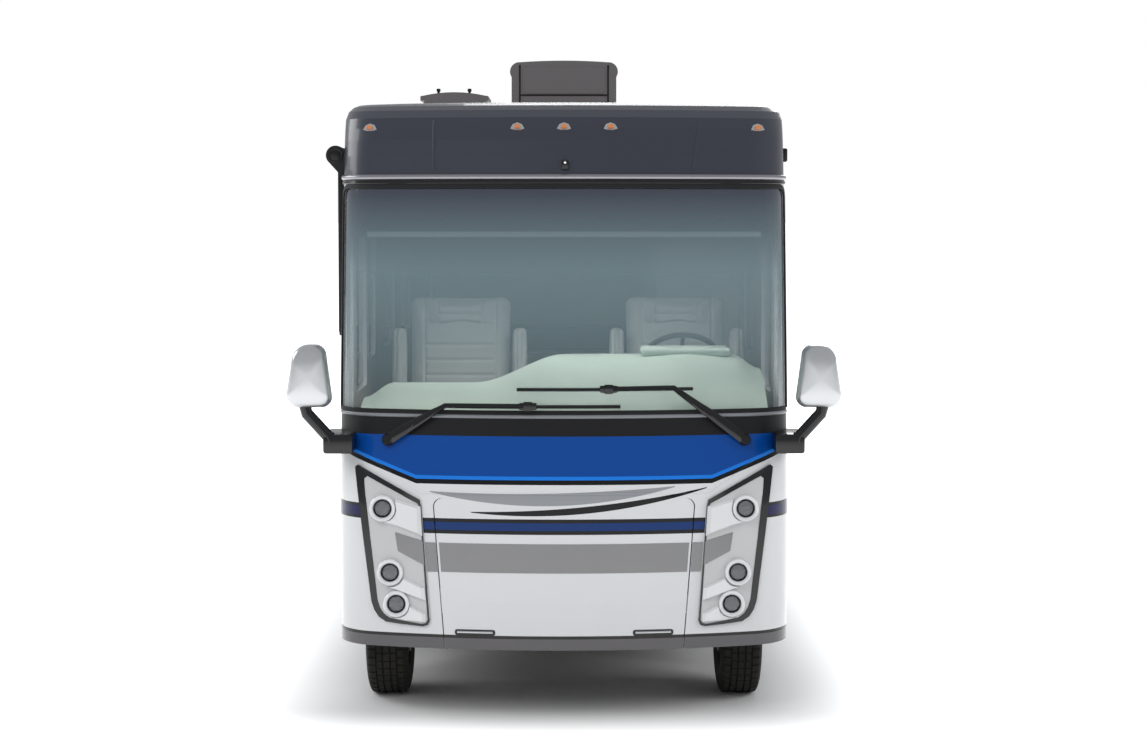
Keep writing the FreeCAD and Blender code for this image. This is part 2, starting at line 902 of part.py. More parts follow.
def front_axle():
    """A dropped beam with a kingpin boss at each end, and its two springs."""
    top = S.tyre_radius + S.beam_tall / 2
    low = S.tyre_radius - S.beam_tall / 2
    outline = [
        (-S.king_out, low), (-S.beam_end, low), (-S.beam_slope, low - S.beam_drop),
        (S.beam_slope, low - S.beam_drop), (S.beam_end, low), (S.king_out, low),
        (S.king_out, top), (S.beam_end - S.beam_tall / 2, top),
        (S.beam_slope - S.beam_tall / 2, top - S.beam_drop),
        (-(S.beam_slope - S.beam_tall / 2), top - S.beam_drop), (-(S.beam_end - S.beam_tall / 2), top),
        (-S.king_out, top),
    ]
    beam = front_panel("beam", (axle_front - S.beam_wide / 2, axle_front + S.beam_wide / 2), [outline])
    pieces = [beam]
    bores = []
    for side in (-1, 1):
        foot = (side * S.king_out, axle_front, S.tyre_radius - S.boss_tall / 2)
        pieces.append(rod(f"boss_{side + 1}", "z", S.boss_radius, foot, S.boss_tall))
        bores.append(rod(f"boss_bore_{side + 1}", "z", S.king_radius + S.bearing_gap,
                         (foot[0], foot[1], foot[2] - S.overrun), S.boss_tall + S.overrun * 2))
        pieces += spring(f"front_spring_{side + 1}", side * spring_mid, axle_front, top - S.beam_drop)
    return keep("front_axle", cut("front_axle_parts", joined("front_axle_raw", pieces), bores))


def rear_axle():
    """A tube axle with its differential, and its two springs."""
    stub = S.twin_mid + S.twin_apart / 2
    tube_end = S.twin_mid - S.twin_apart
    flare = S.diff_radius + S.diff_nose
    bend = S.diff_radius * HALF_TURN_SHARE
    outline = [
        (-stub, 0), (stub, 0), (stub, S.spindle_radius), (tube_end, S.spindle_radius), (tube_end, S.axle_tube),
        (flare, S.axle_tube), (bend, bend), (-bend, bend, 0, S.diff_radius), (-flare, S.axle_tube),
        (-tube_end, S.axle_tube), (-tube_end, S.spindle_radius), (-stub, S.spindle_radius),
    ]
    nose_start = axle_rear - S.diff_radius - S.diff_nose
    pieces = [
        place(turned("axle_housing", [outline]), y=axle_rear, z=S.tyre_radius),
        rod("diff_nose", "y", S.diff_nose, (0, nose_start, S.shaft_high - S.diff_nose / 2),
            S.diff_radius + S.diff_nose),
    ]
    for side in (-1, 1):
        pieces += spring(f"rear_spring_{side + 1}", side * spring_mid, axle_rear, S.tyre_radius + S.axle_tube)
    return keep("rear_axle", joined("rear_axle_parts", pieces))


def fuel_tank():
    """The tank between the rails, hung from them by two straps."""
    half_tank = S.tank_wide / 2
    ends = (back(S.tank_front), back(S.tank_front + S.tank_long))
    shell = round_box((-half_tank, half_tank), (S.tank_low, S.tank_high), S.tank_round)
    pieces = [front_panel("tank", ends, [shell])]
    for number, share in enumerate((HALF / 2, 1 - HALF / 2)):
        y = ends[0] + S.tank_long * share
        strap_x = (-S.rail_out + S.rail_web, S.rail_out - S.rail_web)
        pieces.append(block(f"tank_strap_{number}", strap_x, (y, y + S.joist_wide),
                            (S.tank_high - S.tank_round * 2, S.tank_high - S.tank_round)))
    return keep("fuel_tank", joined("tank_parts", pieces))


def exhaust():
    """The pipe from the engine over the rear axle, its silencer and the turned-down tail pipe."""
    x, high, end = -S.pipe_out, S.pipe_high, back(S.tail_pipe_deep)
    out, bend = -S.tail_pipe_out, S.pipe_radius + S.seat_gap
    pieces = [
        rod("pipe", "y", S.pipe_radius, (x, engine_back, high), end - engine_back),
        rod("muffler", "y", S.muffler_radius, (x, back(S.muffler_front), high), S.muffler_long),
        ball("pipe_bend", bend, (x, end, high)),
        rod("side_pipe", "x", S.pipe_radius, (out, end, high), x - out),
        ball("tail_bend", bend, (out, end, high)),
        rod("tail_pipe", "z", S.pipe_radius, (out, end, S.tail_pipe_low), high - S.tail_pipe_low),
    ]
    return keep("exhaust", joined("exhaust_parts", pieces))


# Wheels and steering

def tyre_outline():
    """Half of a tyre's section, from bead to tread and back, in x and z."""
    bead, side = S.bead_wide / 2, S.tyre_wide / 2
    tread = S.tyre_tread / 2
    crown = S.tyre_radius - S.shoulder / 2
    bulge = (S.bead_radius + S.tyre_radius) / 2
    return [
        (-bead, S.bead_radius), (bead, S.bead_radius),
        (tread + S.shoulder / 2, crown, side, bulge),
        (tread, S.tyre_radius, tread + S.shoulder_out, S.tyre_radius - S.shoulder_fall),
        (-tread, S.tyre_radius),
        (-tread - S.shoulder / 2, crown, -tread - S.shoulder_out, S.tyre_radius - S.shoulder_fall),
        ("close", -side, bulge),
    ]


def rim_outline(sign, disc_at, capped):
    """A wheel with its disc at a place from its middle, its hub, and a cap unless a shaft runs through."""
    bead = S.bead_wide / 2
    face = disc_at + S.disc_thick
    well = S.bead_radius - S.rim_thick
    bore = S.spindle_radius + S.bearing_gap
    hub_end = bead - S.rim_thick
    end = bead + S.hub_cap_long
    cap = [(bead, S.hub_cap_radius), (end, S.hub_cap_radius), (end, 0), (bead, 0), (bead, bore)]
    if not capped:
        cap = [(bead, S.hub_cap_radius), (bead, bore)]
    outline = [
        (-bead, S.bead_radius), (bead, S.bead_radius), (bead, well), (face, well), (face, S.hub_radius),
        (hub_end, S.hub_radius), *cap, (-S.hub_radius, bore), (-S.hub_radius, S.hub_radius),
        (disc_at, S.hub_radius), (disc_at, well), (-bead, well),
    ]
    return [(sign * x, radius) for x, radius in outline]


def hand_holes(name, x, y):
    """The ring of hand holes through a wheel disc."""
    holes = []
    count = int(SIZES["hand_hole_count"])
    for number in range(count):
        turn = math.tau * number / count
        holes.append(rod(f"{name}_{number}", "x", S.hand_hole,
                         (x - S.bead_wide, y + S.hand_ring * math.cos(turn),
                          S.tyre_radius + S.hand_ring * math.sin(turn)), S.bead_wide * 2))
    return holes


def wheel(name, parts):
    """A tyre and a rim for each wheel of one hub: parts lists (x, y, side, disc place, capped)."""
    tyres, rims, holes = [], [], []
    for number, (x, y, sign, disc_at, capped) in enumerate(parts):
        tyres.append(place(turned(f"{name}_rubber_{number}", [tyre_outline()]), x=x, y=y, z=S.tyre_radius))
        disc = turned(f"{name}_disc_{number}", [rim_outline(sign, disc_at, capped)])
        rims.append(place(disc, x=x, y=y, z=S.tyre_radius))
        holes += hand_holes(f"{name}_hole_{number}", x, y)
    if len(parts) == 1:
        keep(f"{name}_tyre", tyres[0])
        return keep(f"{name}_rim", cut(f"{name}_wheel", rims[0], holes))
    keep(f"{name}_tyres", grouped(f"{name}_pair", tyres))
    y = parts[0][1]
    low, high = sorted((part[0] for part in parts), key=float)
    drum = cut(f"{name}_drum", rod(f"{name}_drum_out", "x", S.hub_radius, (low, y, S.tyre_radius), high - low),
               [rod(f"{name}_drum_in", "x", S.spindle_radius + S.bearing_gap,
                    (low - S.overrun, y, S.tyre_radius), high - low + S.overrun * 2)])
    return keep(f"{name}_rims", cut(f"{name}_wheels", joined(f"{name}_hub", rims + [drum]), holes))


def knuckle(side):
    """A forked knuckle on its kingpin, with its spindle, backing plate and steering arm."""
    name = "left" if side > 0 else "right"
    king = side * S.king_out
    fork_low = S.tyre_radius - S.boss_tall / 2 - S.fork_gap - S.fork_thick
    fork_high = S.tyre_radius + S.boss_tall / 2 + S.fork_gap
    web_in = S.king_out + S.boss_radius + S.fork_gap
    web_out = web_in + S.plate_thick * 2
    web_x = sorted((side * web_in, side * web_out), key=float)
    arm_z = (fork_low, fork_low + S.arm_thick)
    pieces = [
        rod(f"{name}_pin", "z", S.king_radius, (king, axle_front, fork_low),
            fork_high + S.fork_thick - fork_low),
        block(f"{name}_web", web_x, (axle_front - S.boss_radius, axle_front + S.boss_radius),
              (fork_low, fork_high + S.fork_thick)),
    ]
    for label, z in (("low", fork_low), ("high", fork_high)):
        lug_x = sorted((king, side * web_out), key=float)
        pieces.append(block(f"{name}_lug_{label}", lug_x,
                            (axle_front - S.boss_radius, axle_front + S.boss_radius), (z, z + S.fork_thick)))
        pieces.append(rod(f"{name}_eye_{label}", "z", S.boss_radius, (king, axle_front, z), S.fork_thick))
    start = min(side * web_in, side * (S.track_half + S.spindle_over), key=float)
    pieces.append(rod(f"{name}_spindle", "x", S.spindle_radius, (start, axle_front, S.tyre_radius),
                      S.track_half + S.spindle_over - web_in))
    plate = min(side * web_out, side * (web_out + S.plate_thick), key=float)
    pieces.append(rod(f"{name}_plate", "x", S.plate_radius, (plate, axle_front, S.tyre_radius), S.plate_thick))
    pieces.append(block(f"{name}_arm", (king - S.arm_thick, king + S.arm_thick),
                        (axle_front, axle_front + S.arm_back), arm_z))
    pieces.append(rod(f"{name}_arm_eye", "z", S.arm_thick, (king, axle_front + S.arm_back, arm_z[0]),
                      S.arm_thick))
    bore = rod(f"{name}_arm_bore", "z", S.rod_pin + S.bearing_gap,
               (king, axle_front + S.arm_back, arm_z[0] - S.overrun), S.arm_thick + S.overrun * 2)
    return keep(f"{name}_knuckle", cut(f"{name}_knuckle_parts", joined(f"{name}_knuckle_raw", pieces), [bore]))


def tie_rod():
    """The bar below the two steering arms, with a pin up through each."""
    reach = S.king_out
    arm_low = S.tyre_radius - S.boss_tall / 2 - S.fork_gap - S.fork_thick
    y = axle_front + S.arm_back
    z = arm_low - S.fork_gap - S.rod_radius
    pieces = [rod("tie_bar", "x", S.rod_radius, (-reach, y, z), reach * 2)]
    for side in (-1, 1):
        pieces.append(rod(f"tie_pin_{side + 1}", "z", S.rod_pin, (side * reach, y, z),
                          arm_low - z + S.arm_thick + S.fork_gap))
    return keep("tie_rod", joined("tie_parts", pieces))


# Floor, walls and roof

def floor():
    """The floor, narrowed into the nose and notched for the entry steps."""
    nose_y, side_y = back(S.floor_front), back(S.cap_back)
    notch = (back(S.door_front), back(S.door_front + S.door_wide))
    step_x = -(wall_in - S.step_deep)
    outline = [
        (-S.floor_nose_half, nose_y), (S.floor_nose_half, nose_y), (wall_in, side_y), (wall_in, body_end),
        (-wall_in, body_end), (-wall_in, notch[1]), (step_x, notch[1]), (step_x, notch[0]),
        (-wall_in, notch[0]), (-wall_in, side_y),
    ]
    return keep("floor", flat_panel("floor_board", (floor_low, floor_high), [outline]))


def entry_steps():
    """The well inside the entry door with its two steps."""
    x = (-wall_in, -(wall_in - S.step_deep))
    y = (back(S.door_front), back(S.door_front + S.door_wide))
    middle = x[0] + S.step_deep / 2
    low = S.door_low
    rise = S.step_rise
    outline = [
        (x[0], low), (x[1] + S.step_wall, low), (x[1] + S.step_wall, floor_low), (x[1], floor_low),
        (x[1], low + rise), (middle, low + rise), (middle, low + S.step_wall), (x[0], low + S.step_wall),
    ]
    pieces = [front_panel("steps", y, [outline])]
    for number, start in enumerate((y[0] - S.step_wall, y[1])):
        pieces.append(block(f"step_cheek_{number}", (x[0], x[1] + S.step_wall), (start, start + S.step_wall),
                            (low, floor_low)))
    return keep("entry_steps", joined("steps_parts", pieces))


def wall_outline(notch):
    """A side wall's edge, stepped over the brow and notched for a door."""
    start = [(back(S.cap_back), floor_low)]
    finish = [
        (body_end, floor_low), (body_end, S.edge_high), (back(S.brow_back), S.edge_high),
        (back(S.brow_back), S.brow_high), (back(S.cap_back), S.brow_high),
    ]
    return start + notch + finish


def window(first, long, low, high):
    """A rounded window in y and z."""
    return round_box((back(first), back(first + long)), (low, high), S.window_round)


def left_windows():
    """The driver's side windows."""
    return [
        window(S.cab_window_front, S.cab_window_long, S.cab_window_low, S.cab_window_high),
        window(S.galley_front, S.galley_long, S.window_low, S.window_high),
        window(S.bed_window_front, S.bed_window_long, S.window_low, S.window_high),
    ]


def right_windows():
    """The kerb side windows."""
    return [
        window(S.cab_window_front, S.cab_window_long, S.cab_window_low, S.cab_window_high),
        window(S.dinette_front, S.dinette_long, S.window_low, S.window_high),
        window(S.lounge_front, S.lounge_long, S.window_low, S.window_high),
        window(S.bed_window_front, S.bed_window_long, S.window_low, S.window_high),
    ]


def slide_hole():
    """The opening in the wall that the slide room runs through."""
    return rectangle((back(S.slide_front - S.slide_clear), back(S.slide_front + S.slide_long + S.slide_clear)),
                     (floor_high, S.slide_high + S.slide_clear))


def walls():
    """The two side walls with their openings."""
    left = side_panel("left_side", (wall_in, half), [wall_outline([]), slide_hole()] + left_windows())
    keep("left_wall", left)
    door = (back(S.door_front), back(S.door_front + S.door_wide))
    notch = [(door[0], floor_low), (door[0], S.door_high), (door[1], S.door_high), (door[1], floor_low)]
    right = side_panel("right_side", (-half, -wall_in), [wall_outline(notch)] + right_windows())
    keep("right_wall", right)


def side_glass():
    """The panes in the two walls."""
    middle = half - S.wall / 2
    panes = [
        side_panel("left_panes", (middle, middle + S.glass_thick), left_windows()),
        side_panel("right_panes", (-middle - S.glass_thick, -middle), right_windows()),
    ]
    return keep("side_glass", grouped("panes", panes))


def roof():
    """The crowned roof, turned down over the walls."""
    degrees = CORNER_TURN_SHARES[-1][0]
    turn = math.radians(degrees)
    def edge(inset):
        corner = S.roof_corner - inset
        x = half - S.roof_corner + corner * math.cos(turn)
        z = S.edge_high + corner * math.sin(turn)
        mid_x = half - S.roof_corner + corner * math.cos(turn / 2)
        mid_z = S.edge_high + corner * math.sin(turn / 2)
        return x, z, mid_x, mid_z
    ox, oz, omx, omz = edge(0)
    ix, iz, imx, imz = edge(S.wall)
    top = oz + S.crown
    low = iz + S.crown
    outline = [
        (half, S.edge_high), (ox, oz, omx, omz), (-ox, oz, 0, top), (-half, S.edge_high, -omx, omz),
        (-wall_in, S.edge_high), (-ix, iz, -imx, imz), (ix, iz, 0, low), (wall_in, S.edge_high, imx, imz),
    ]
    return keep("roof", front_panel("roof_skin", (back(S.brow_back), body_end), [outline]))


def baggage_bays(first):
    """Where the bays of one side start and end."""
    middle = (first + S.bay_last) / 2
    return [(first, middle - S.bay_frame / 2), (middle + S.bay_frame / 2, S.bay_last)]


def bay_openings(first, gap=0, hinge_gap=0):
    """One side's bay openings in y and z, or its doors: set in by a gap, and by another at the hinge."""
    low = S.bay_low + S.bay_wall
    return [
        round_box((back(start + S.bay_wall) + gap, back(end - S.bay_wall) - gap),
                  (low + gap, bay_top - S.bay_wall - hinge_gap), S.bay_frame - gap)
        for start, end in baggage_bays(first)
    ]


def arches():
    """The four wheel arches as round tools across the coach."""
    return [
        rod(f"arch_{number}", "x", S.arch_radius, (-half - S.overrun, y, S.skirt_low),
            S.body_wide + S.overrun * 2)
        for number, y in enumerate((axle_front, axle_rear))
    ]


def basement(name, side, first, outline):
    """One side's skirt, and the two bays behind it."""
    x = sorted((side * skirt_in, side * half), key=float)
    skirt = side_panel(f"{name}_skirt", x, [outline] + bay_openings(first))
    keep(f"{name}_basement", cut(f"{name}_skirt_arched", skirt, arches()))
    bays = []
    for number, (start, end) in enumerate(baggage_bays(first)):
        y = (back(start), back(end))
        box_x = sorted((side * S.bay_in, side * skirt_in), key=float)
        inner_x = sorted((side * (S.bay_in + S.bay_wall), side * (skirt_in + S.overrun)), key=float)
        outer = block(f"{name}_bay_{number}", box_x, y, (S.bay_low, bay_top))
        inner = block(f"{name}_bay_room_{number}", inner_x, (y[0] + S.bay_wall, y[1] - S.bay_wall),
                      (S.bay_low + S.bay_wall, bay_top - S.bay_wall))
        bays.append(cut(f"{name}_bay_shell_{number}", outer, [inner]))
    keep(f"{name}_bays", grouped(f"{name}_bay_pair", bays))


def basements():
    """Both skirts with their bays."""
    ends = (back(S.cap_back), body_end)
    plain = rectangle(ends, (S.skirt_low, floor_low))
    basement("left", 1, S.bay_first, plain)
    door = (back(S.door_front), back(S.door_front + S.door_wide))
    notched = [
        (ends[0], S.skirt_low), (ends[1], S.skirt_low), (ends[1], floor_low), (door[1], floor_low),
        (door[1], S.door_low), (door[0], S.door_low), (door[0], floor_low), (ends[0], floor_low),
    ]
    basement("right", -1, S.bay_right_first, notched)


def baggage_doors():
    """The four top-hinged baggage doors."""
    for name, side, first in (("left", 1, S.bay_first), ("right", -1, S.bay_right_first)):
        x = sorted((side * (half - S.bay_door_thick), side * half), key=float)
        for number, outline in enumerate(bay_openings(first, S.seam, S.seat_gap), start=1):
            keep(f"{name}_bay_door_{number}", side_panel(f"{name}_hatch_{number}", x, [outline]))


def entry_door():
    """The entry door with its window, and the pane."""
    y = (back(S.door_front) + S.seat_gap, back(S.door_front + S.door_wide) - S.seam)
    outline = round_box(y, (S.door_low + S.seam, S.door_high - S.seam), S.seam)
    light = round_box((y[0] + S.door_round, y[1] - S.door_round), (S.window_low, S.cab_window_high),
                      S.window_round)
    keep("entry_door", side_panel("door_leaf", (-half, -wall_in), [outline, light]))
    middle = -(half - S.wall / 2)
    keep("entry_door_glass", side_panel("door_pane", (middle, middle + S.glass_thick), [light]))


def slide_room():
    """The slide room: its outer wall with a flange, and its floor, roof and ends."""
    y = (back(S.slide_front), back(S.slide_front + S.slide_long))
    z = (floor_high + S.slide_lift, S.slide_high)
    face = (half + S.flange_gap, half + S.flange_gap + S.flange_thick)
    outline = rectangle((y[0] - S.flange, y[1] + S.flange), (z[0] - S.flange, z[1] + S.flange))
    light = round_box((y[0] + S.galley_long * HALF, y[1] - S.galley_long * HALF), (S.window_low, S.window_high),
                      S.window_round)
    fascia = side_panel("slide_fascia", face, [outline, light])
    box_x = (face[0] - S.slide_deep, face[0])
    shell = cut("slide_shell", block("slide_box", box_x, y, z),
                [block("slide_space", (box_x[0] - S.overrun, box_x[1]),
                       (y[0] + S.slide_wall, y[1] - S.slide_wall), (z[0] + S.slide_wall, z[1] - S.slide_wall)),
                 side_panel("slide_light", (box_x[1] - S.slide_wall, box_x[1]), [light])])
    pieces = [fascia, shell]
    for number, start in enumerate((y[0] + S.slide_wall, y[1] - S.slide_wall - S.runner_wide)):
        pieces.append(block(f"slide_runner_{number}", (box_x[0], box_x[1]), (start, start + S.runner_wide),
                            (floor_high + S.seat_gap, z[0])))
    keep("slide_room", joined("slide_parts", pieces))
    pane_x = (face[0] + S.pane_back, face[0] + S.pane_back + S.glass_thick)
    keep("slide_glass", side_panel("slide_pane", pane_x, [light]))


def slide_topper():
    """The roller above the slide room that keeps its roof dry."""
    y = (back(S.slide_front) - S.flange, back(S.slide_front + S.slide_long) + S.flange)
    x = half + S.topper_out
    pieces = [rod("topper_roller", "y", S.topper_radius, (x, y[0], S.topper_high), y[1] - y[0])]
    face = half + S.flange_gap + S.flange_thick
    for number, start in enumerate((y[0], y[1] - S.runner_wide / 2)):
        pieces.append(block(f"topper_arm_{number}", (face, x), (start, start + S.runner_wide / 2),
                            (S.slide_high - S.flange, S.topper_high)))
    return keep("slide_topper", joined("topper_parts", pieces))


# Front and rear ends

front_zone = (front - S.overrun, back(S.cap_back) - S.wall)
front_out = front_block("front_out", 0)
front_in = front_block("front_in", S.skin)
front_shell = cut("front_shell", front_out, [front_in])
rear_out = rear_block("rear_out", 0)
rear_in = rear_block("rear_in", S.skin)


def hatch_outline(gap=0, hinge_gap=0):
    """The front hatch, wider at its top than at its foot, set in by a gap and at its hinge by another."""
    top, low = S.hatch_top_half - gap, S.hatch_low_half - gap
    high = S.hatch_high - hinge_gap
    bend = S.hatch_round
    inset = bend * (1 - HALF_TURN_SHARE)
    return [
        (-low, S.foot_high - S.overrun), (low, S.foot_high - S.overrun), (top, high - bend),
        (top - bend, high, top - inset, high - inset), (-top + bend, high),
        (-top, high - bend, -top + inset, high - inset),
    ]


def pod_outline(side):
    """One lamp pod seen from ahead."""
    points = [
        (S.pod_tip_out, S.pod_tip_high), (S.pod_in_out, S.pod_in_high), (S.pod_foot_in, S.pod_foot_high),
        (S.pod_toe_in, S.pod_toe_high), (S.pod_heel_out, S.pod_heel_high), (S.pod_side_out, S.pod_side_high),
    ]
    return [(side * x, z) for x, z in points]


def lamp_places():
    """The three lamps of a pod, across and up."""
    return [
        (S.lamp_top_out, S.lamp_top_high), (S.lamp_mid_out, S.lamp_mid_high), (S.lamp_low_out, S.lamp_low_high),
    ]


across_coach = (-half - S.overrun, half + S.overrun)


def shield_zone(name):
    """Where the windshield is, seen from the side: it wraps round both corners."""
    low_y, high_y = back(S.sill_deep + S.shield_wrap), back(S.brow_deep + S.shield_wrap)
    bend = S.shield_round
    inset = bend * (1 - HALF_TURN_SHARE)
    return side_panel(name, across_coach, [[
        (front - S.overrun, S.sill_high), (low_y, S.sill_high), (high_y, S.shield_top - bend),
        (high_y - bend, S.shield_top, high_y - inset, S.shield_top - inset), (front - S.overrun, S.shield_top),
    ]])


def cowl_zone(name):
    """Where the ledge below the windshield is, seen from the side."""
    low_y, high_y = back(S.panel_deep + S.shield_wrap), back(S.sill_deep + S.shield_wrap)
    return side_panel(name, across_coach, [[
        (front - S.overrun, S.panel_high), (low_y, S.panel_high), (high_y, S.sill_high),
        (front - S.overrun, S.sill_high),
    ]])


def nose():
    """The front moulding with its openings, and the brow above it."""
    lower = block("nose_zone", (-half - S.overrun, half + S.overrun), (front - S.overrun, back(S.cap_back)),
                  (S.foot_high - S.overrun, S.brow_high))
    upper = block("brow_zone", (-half - S.overrun, half + S.overrun), (front - S.overrun, back(S.brow_back)),
                  (S.brow_high, roof_high + S.overrun))
    tools = [
        front_panel("hatch_hole", front_zone, [hatch_outline()]),
        shield_zone("shield_hole"),
        cowl_zone("cowl_hole"),
        front_panel("pod_holes", front_zone, [pod_outline(side) for side in (-1, 1)]),
    ]
    keep("nose_cap", cut("nose", shared("nose_part", [front_shell, lower]), tools + [arches()[0]]))
    keep("brow_cap", shared("brow", [front_shell, upper]))


def skin_piece(name, zone, outer, inner):
    """A piece cut from a layer of the front skin."""
    return cut(name, shared(f"{name}_seen", [outer, zone]), [inner])


def front_pieces():
    """The windshield, cowl, hatch, lamp pods and headlamps."""
    glass_out = front_block("glass_out", S.shield_in)
    glass_in = front_block("glass_in", S.shield_in + S.shield_thick)
    keep("windshield", skin_piece("shield", shield_zone("shield_zone"), glass_out, glass_in))
    keep("cowl", skin_piece("ledge", cowl_zone("ledge_zone"), front_out, front_in))
    hatch_zone = front_panel("hatch_zone", front_zone, [hatch_outline(S.seam, S.seat_gap)])
    keep("front_hatch", skin_piece("hatch_skin", hatch_zone, front_out, front_in))
    pod_out = front_block("pod_out", -S.pod_proud)
    pod_in = front_block("pod_in", S.pod_deep)
    pod_zone = front_panel("pod_zone", front_zone, [pod_outline(side) for side in (-1, 1)])
    pods = skin_piece("pod_skin", pod_zone, pod_out, pod_in)
    rings, lenses = [], []
    for side in (-1, 1):
        for number, (x, z) in enumerate(lamp_places()):
            start = (side * x, front - S.overrun, z)
            long = S.cap_back
            rings.append(rod(f"lamp_seat_{side + 1}_{number}", "y", S.lamp_ring, start, long))
            lenses.append(rod(f"lamp_body_{side + 1}_{number}", "y", S.lamp_ring - S.seat_gap, start, long))
    keep("lamp_pods", cut("pods", pods, rings))
    keep("headlamps", cut("lamps", shared("lamp_rods", [pod_out, joined("lamp_bars", lenses)]), [pod_in]))


def marker_lamps():
    """The five clearance lamps on the brow, seated on its curve."""
    boxes = []
    for number, x in enumerate((size(0), S.marker_mid, -S.marker_mid, S.marker_out, -S.marker_out)):
        high = (S.marker_high - S.marker_tall / 2, S.marker_high + S.marker_tall / 2)
        boxes.append(block(f"marker_{number}", (x - S.marker_wide / 2, x + S.marker_wide / 2),
                           (front, back(S.cap_back)), high))
    seen = shared("marker_seen", [front_block("marker_out", -S.marker_proud), joined("marker_boxes", boxes)])
    return keep("clearance_lamps", cut("markers", seen, [front_out]))


def tail():
    """The rear moulding, its lamps and the ladder."""
    keep("rear_cap", cut("rear_shell", rear_out, [rear_in]))
    boxes = []
    for side in (-1, 1):
        x = (side * S.tail_lamp_out - S.tail_lamp_wide / 2, side * S.tail_lamp_out + S.tail_lamp_wide / 2)
        boxes.append(block(f"tail_lamp_{side + 1}", x, (body_end, rear),
                           (S.tail_lamp_low, S.tail_lamp_low + S.tail_lamp_tall)))
    proud = rear_block("tail_lamp_out", -S.tail_lamp_proud)
    seen = shared("tail_lamp_seen", [proud, joined("tail_lamp_boxes", boxes)])
    keep("tail_lamps", cut("tail_lamp_parts", seen, [rear_out]))


def ladder():
    """The rear ladder on its standoffs."""
    y = rear - S.tail_set + S.ladder_off
    pieces = []
    high = S.edge_high
    for number, x in enumerate((-S.ladder_out, -S.ladder_in)):
        pieces.append(rod(f"ladder_side_{number}", "z", S.ladder_rod, (x, y, S.ladder_low),
                          high - S.ladder_low))
    step = (high - S.ladder_low) / S.ladder_rungs
    for number in range(int(SIZES["ladder_rungs"])):
        z = S.ladder_low + step * (number + HALF)
        pieces.append(rod(f"ladder_rung_{number}", "x", S.ladder_rung, (-S.ladder_out, y, z),
                          S.ladder_out - S.ladder_in))
    for number, x in enumerate((-S.ladder_out, -S.ladder_in)):
        for level, share in enumerate(LADDER_FOOT_SHARES):
            z = S.ladder_low + (high - S.ladder_low) * share
            pieces.append(rod(f"ladder_foot_{number}_{level}", "y", S.ladder_rung,
                              (x, y - S.tail_back, z), S.tail_back))
    return keep("ladder", cut("ladder_parts", joined("ladder_raw", pieces), [rear_out]))


def rear_bumper():
    """The rear bumper on its brackets, with the hitch receiver below."""
    half_wide = half - S.seam
    z = (S.tail_low - S.bumper_tall, S.tail_low)
    bend = S.bumper_round
    inset = bend * (1 - HALF_TURN_SHARE)
    inner, thick = half_wide - S.bumper_thick, S.bumper_thick
    inner_bend = bend - thick
    back_in = rear - thick
    outline = [
        (-half_wide, body_end), (-half_wide, rear - bend),
        (-half_wide + bend, rear, -half_wide + inset, rear - inset),
        (half_wide - bend, rear), (half_wide, rear - bend, half_wide - inset, rear - inset),
        (half_wide, body_end), (inner, body_end), (inner, back_in - inner_bend),
        (inner - inner_bend, back_in, inner - inner_bend * (1 - HALF_TURN_SHARE),
         back_in - inner_bend * (1 - HALF_TURN_SHARE)),
        (-inner + inner_bend, back_in),
        (-inner, back_in - inner_bend, -inner + inner_bend * (1 - HALF_TURN_SHARE),
         back_in - inner_bend * (1 - HALF_TURN_SHARE)),
        (-inner, body_end),
    ]
    pieces = [flat_panel("bumper_bar", z, [outline])]
    tube = S.receiver_tube / 2
    tube_z = S.tail_low - S.bumper_tall - tube
    tube_y = (rear - S.receiver_long, rear - S.seam)
    for side in (-1, 1):
        x = sorted((side * rail_in, side * (S.rail_out - S.rail_web)), key=float)
        pieces.append(block(f"bumper_hanger_{side + 1}", x, (rail_back - S.overrun * 2, rail_back),
                            (tube_z - tube, S.rail_low)))
        pieces.append(block(f"bumper_bracket_{side + 1}", x, (rail_back - S.overrun, rear - thick),
                            (tube_z - tube, S.tail_low - S.seam)))
    pieces.append(block("hitch_cross", (-rail_in, rail_in), (tube_y[0], tube_y[0] + S.receiver_tube),
                        (tube_z - tube, tube_z + tube)))
    pieces.append(block("receiver", (-tube, tube), tube_y, (tube_z - tube, tube_z + tube)))
    bore = S.receiver_bore / 2
    holes = [
        block("receiver_bore", (-bore, bore), (tube_y[0] + S.receiver_tube, rear + S.overrun),
              (tube_z - bore, tube_z + bore)),
        rod("receiver_pin", "x", S.receiver_pin / 2, (-S.receiver_tube, tube_y[1] - S.receiver_pin_in, tube_z),
            S.receiver_tube * 2),
    ]
    return keep("rear_bumper", cut("bumper_parts", joined("bumper_raw", pieces), holes))


# Pieces on the outside

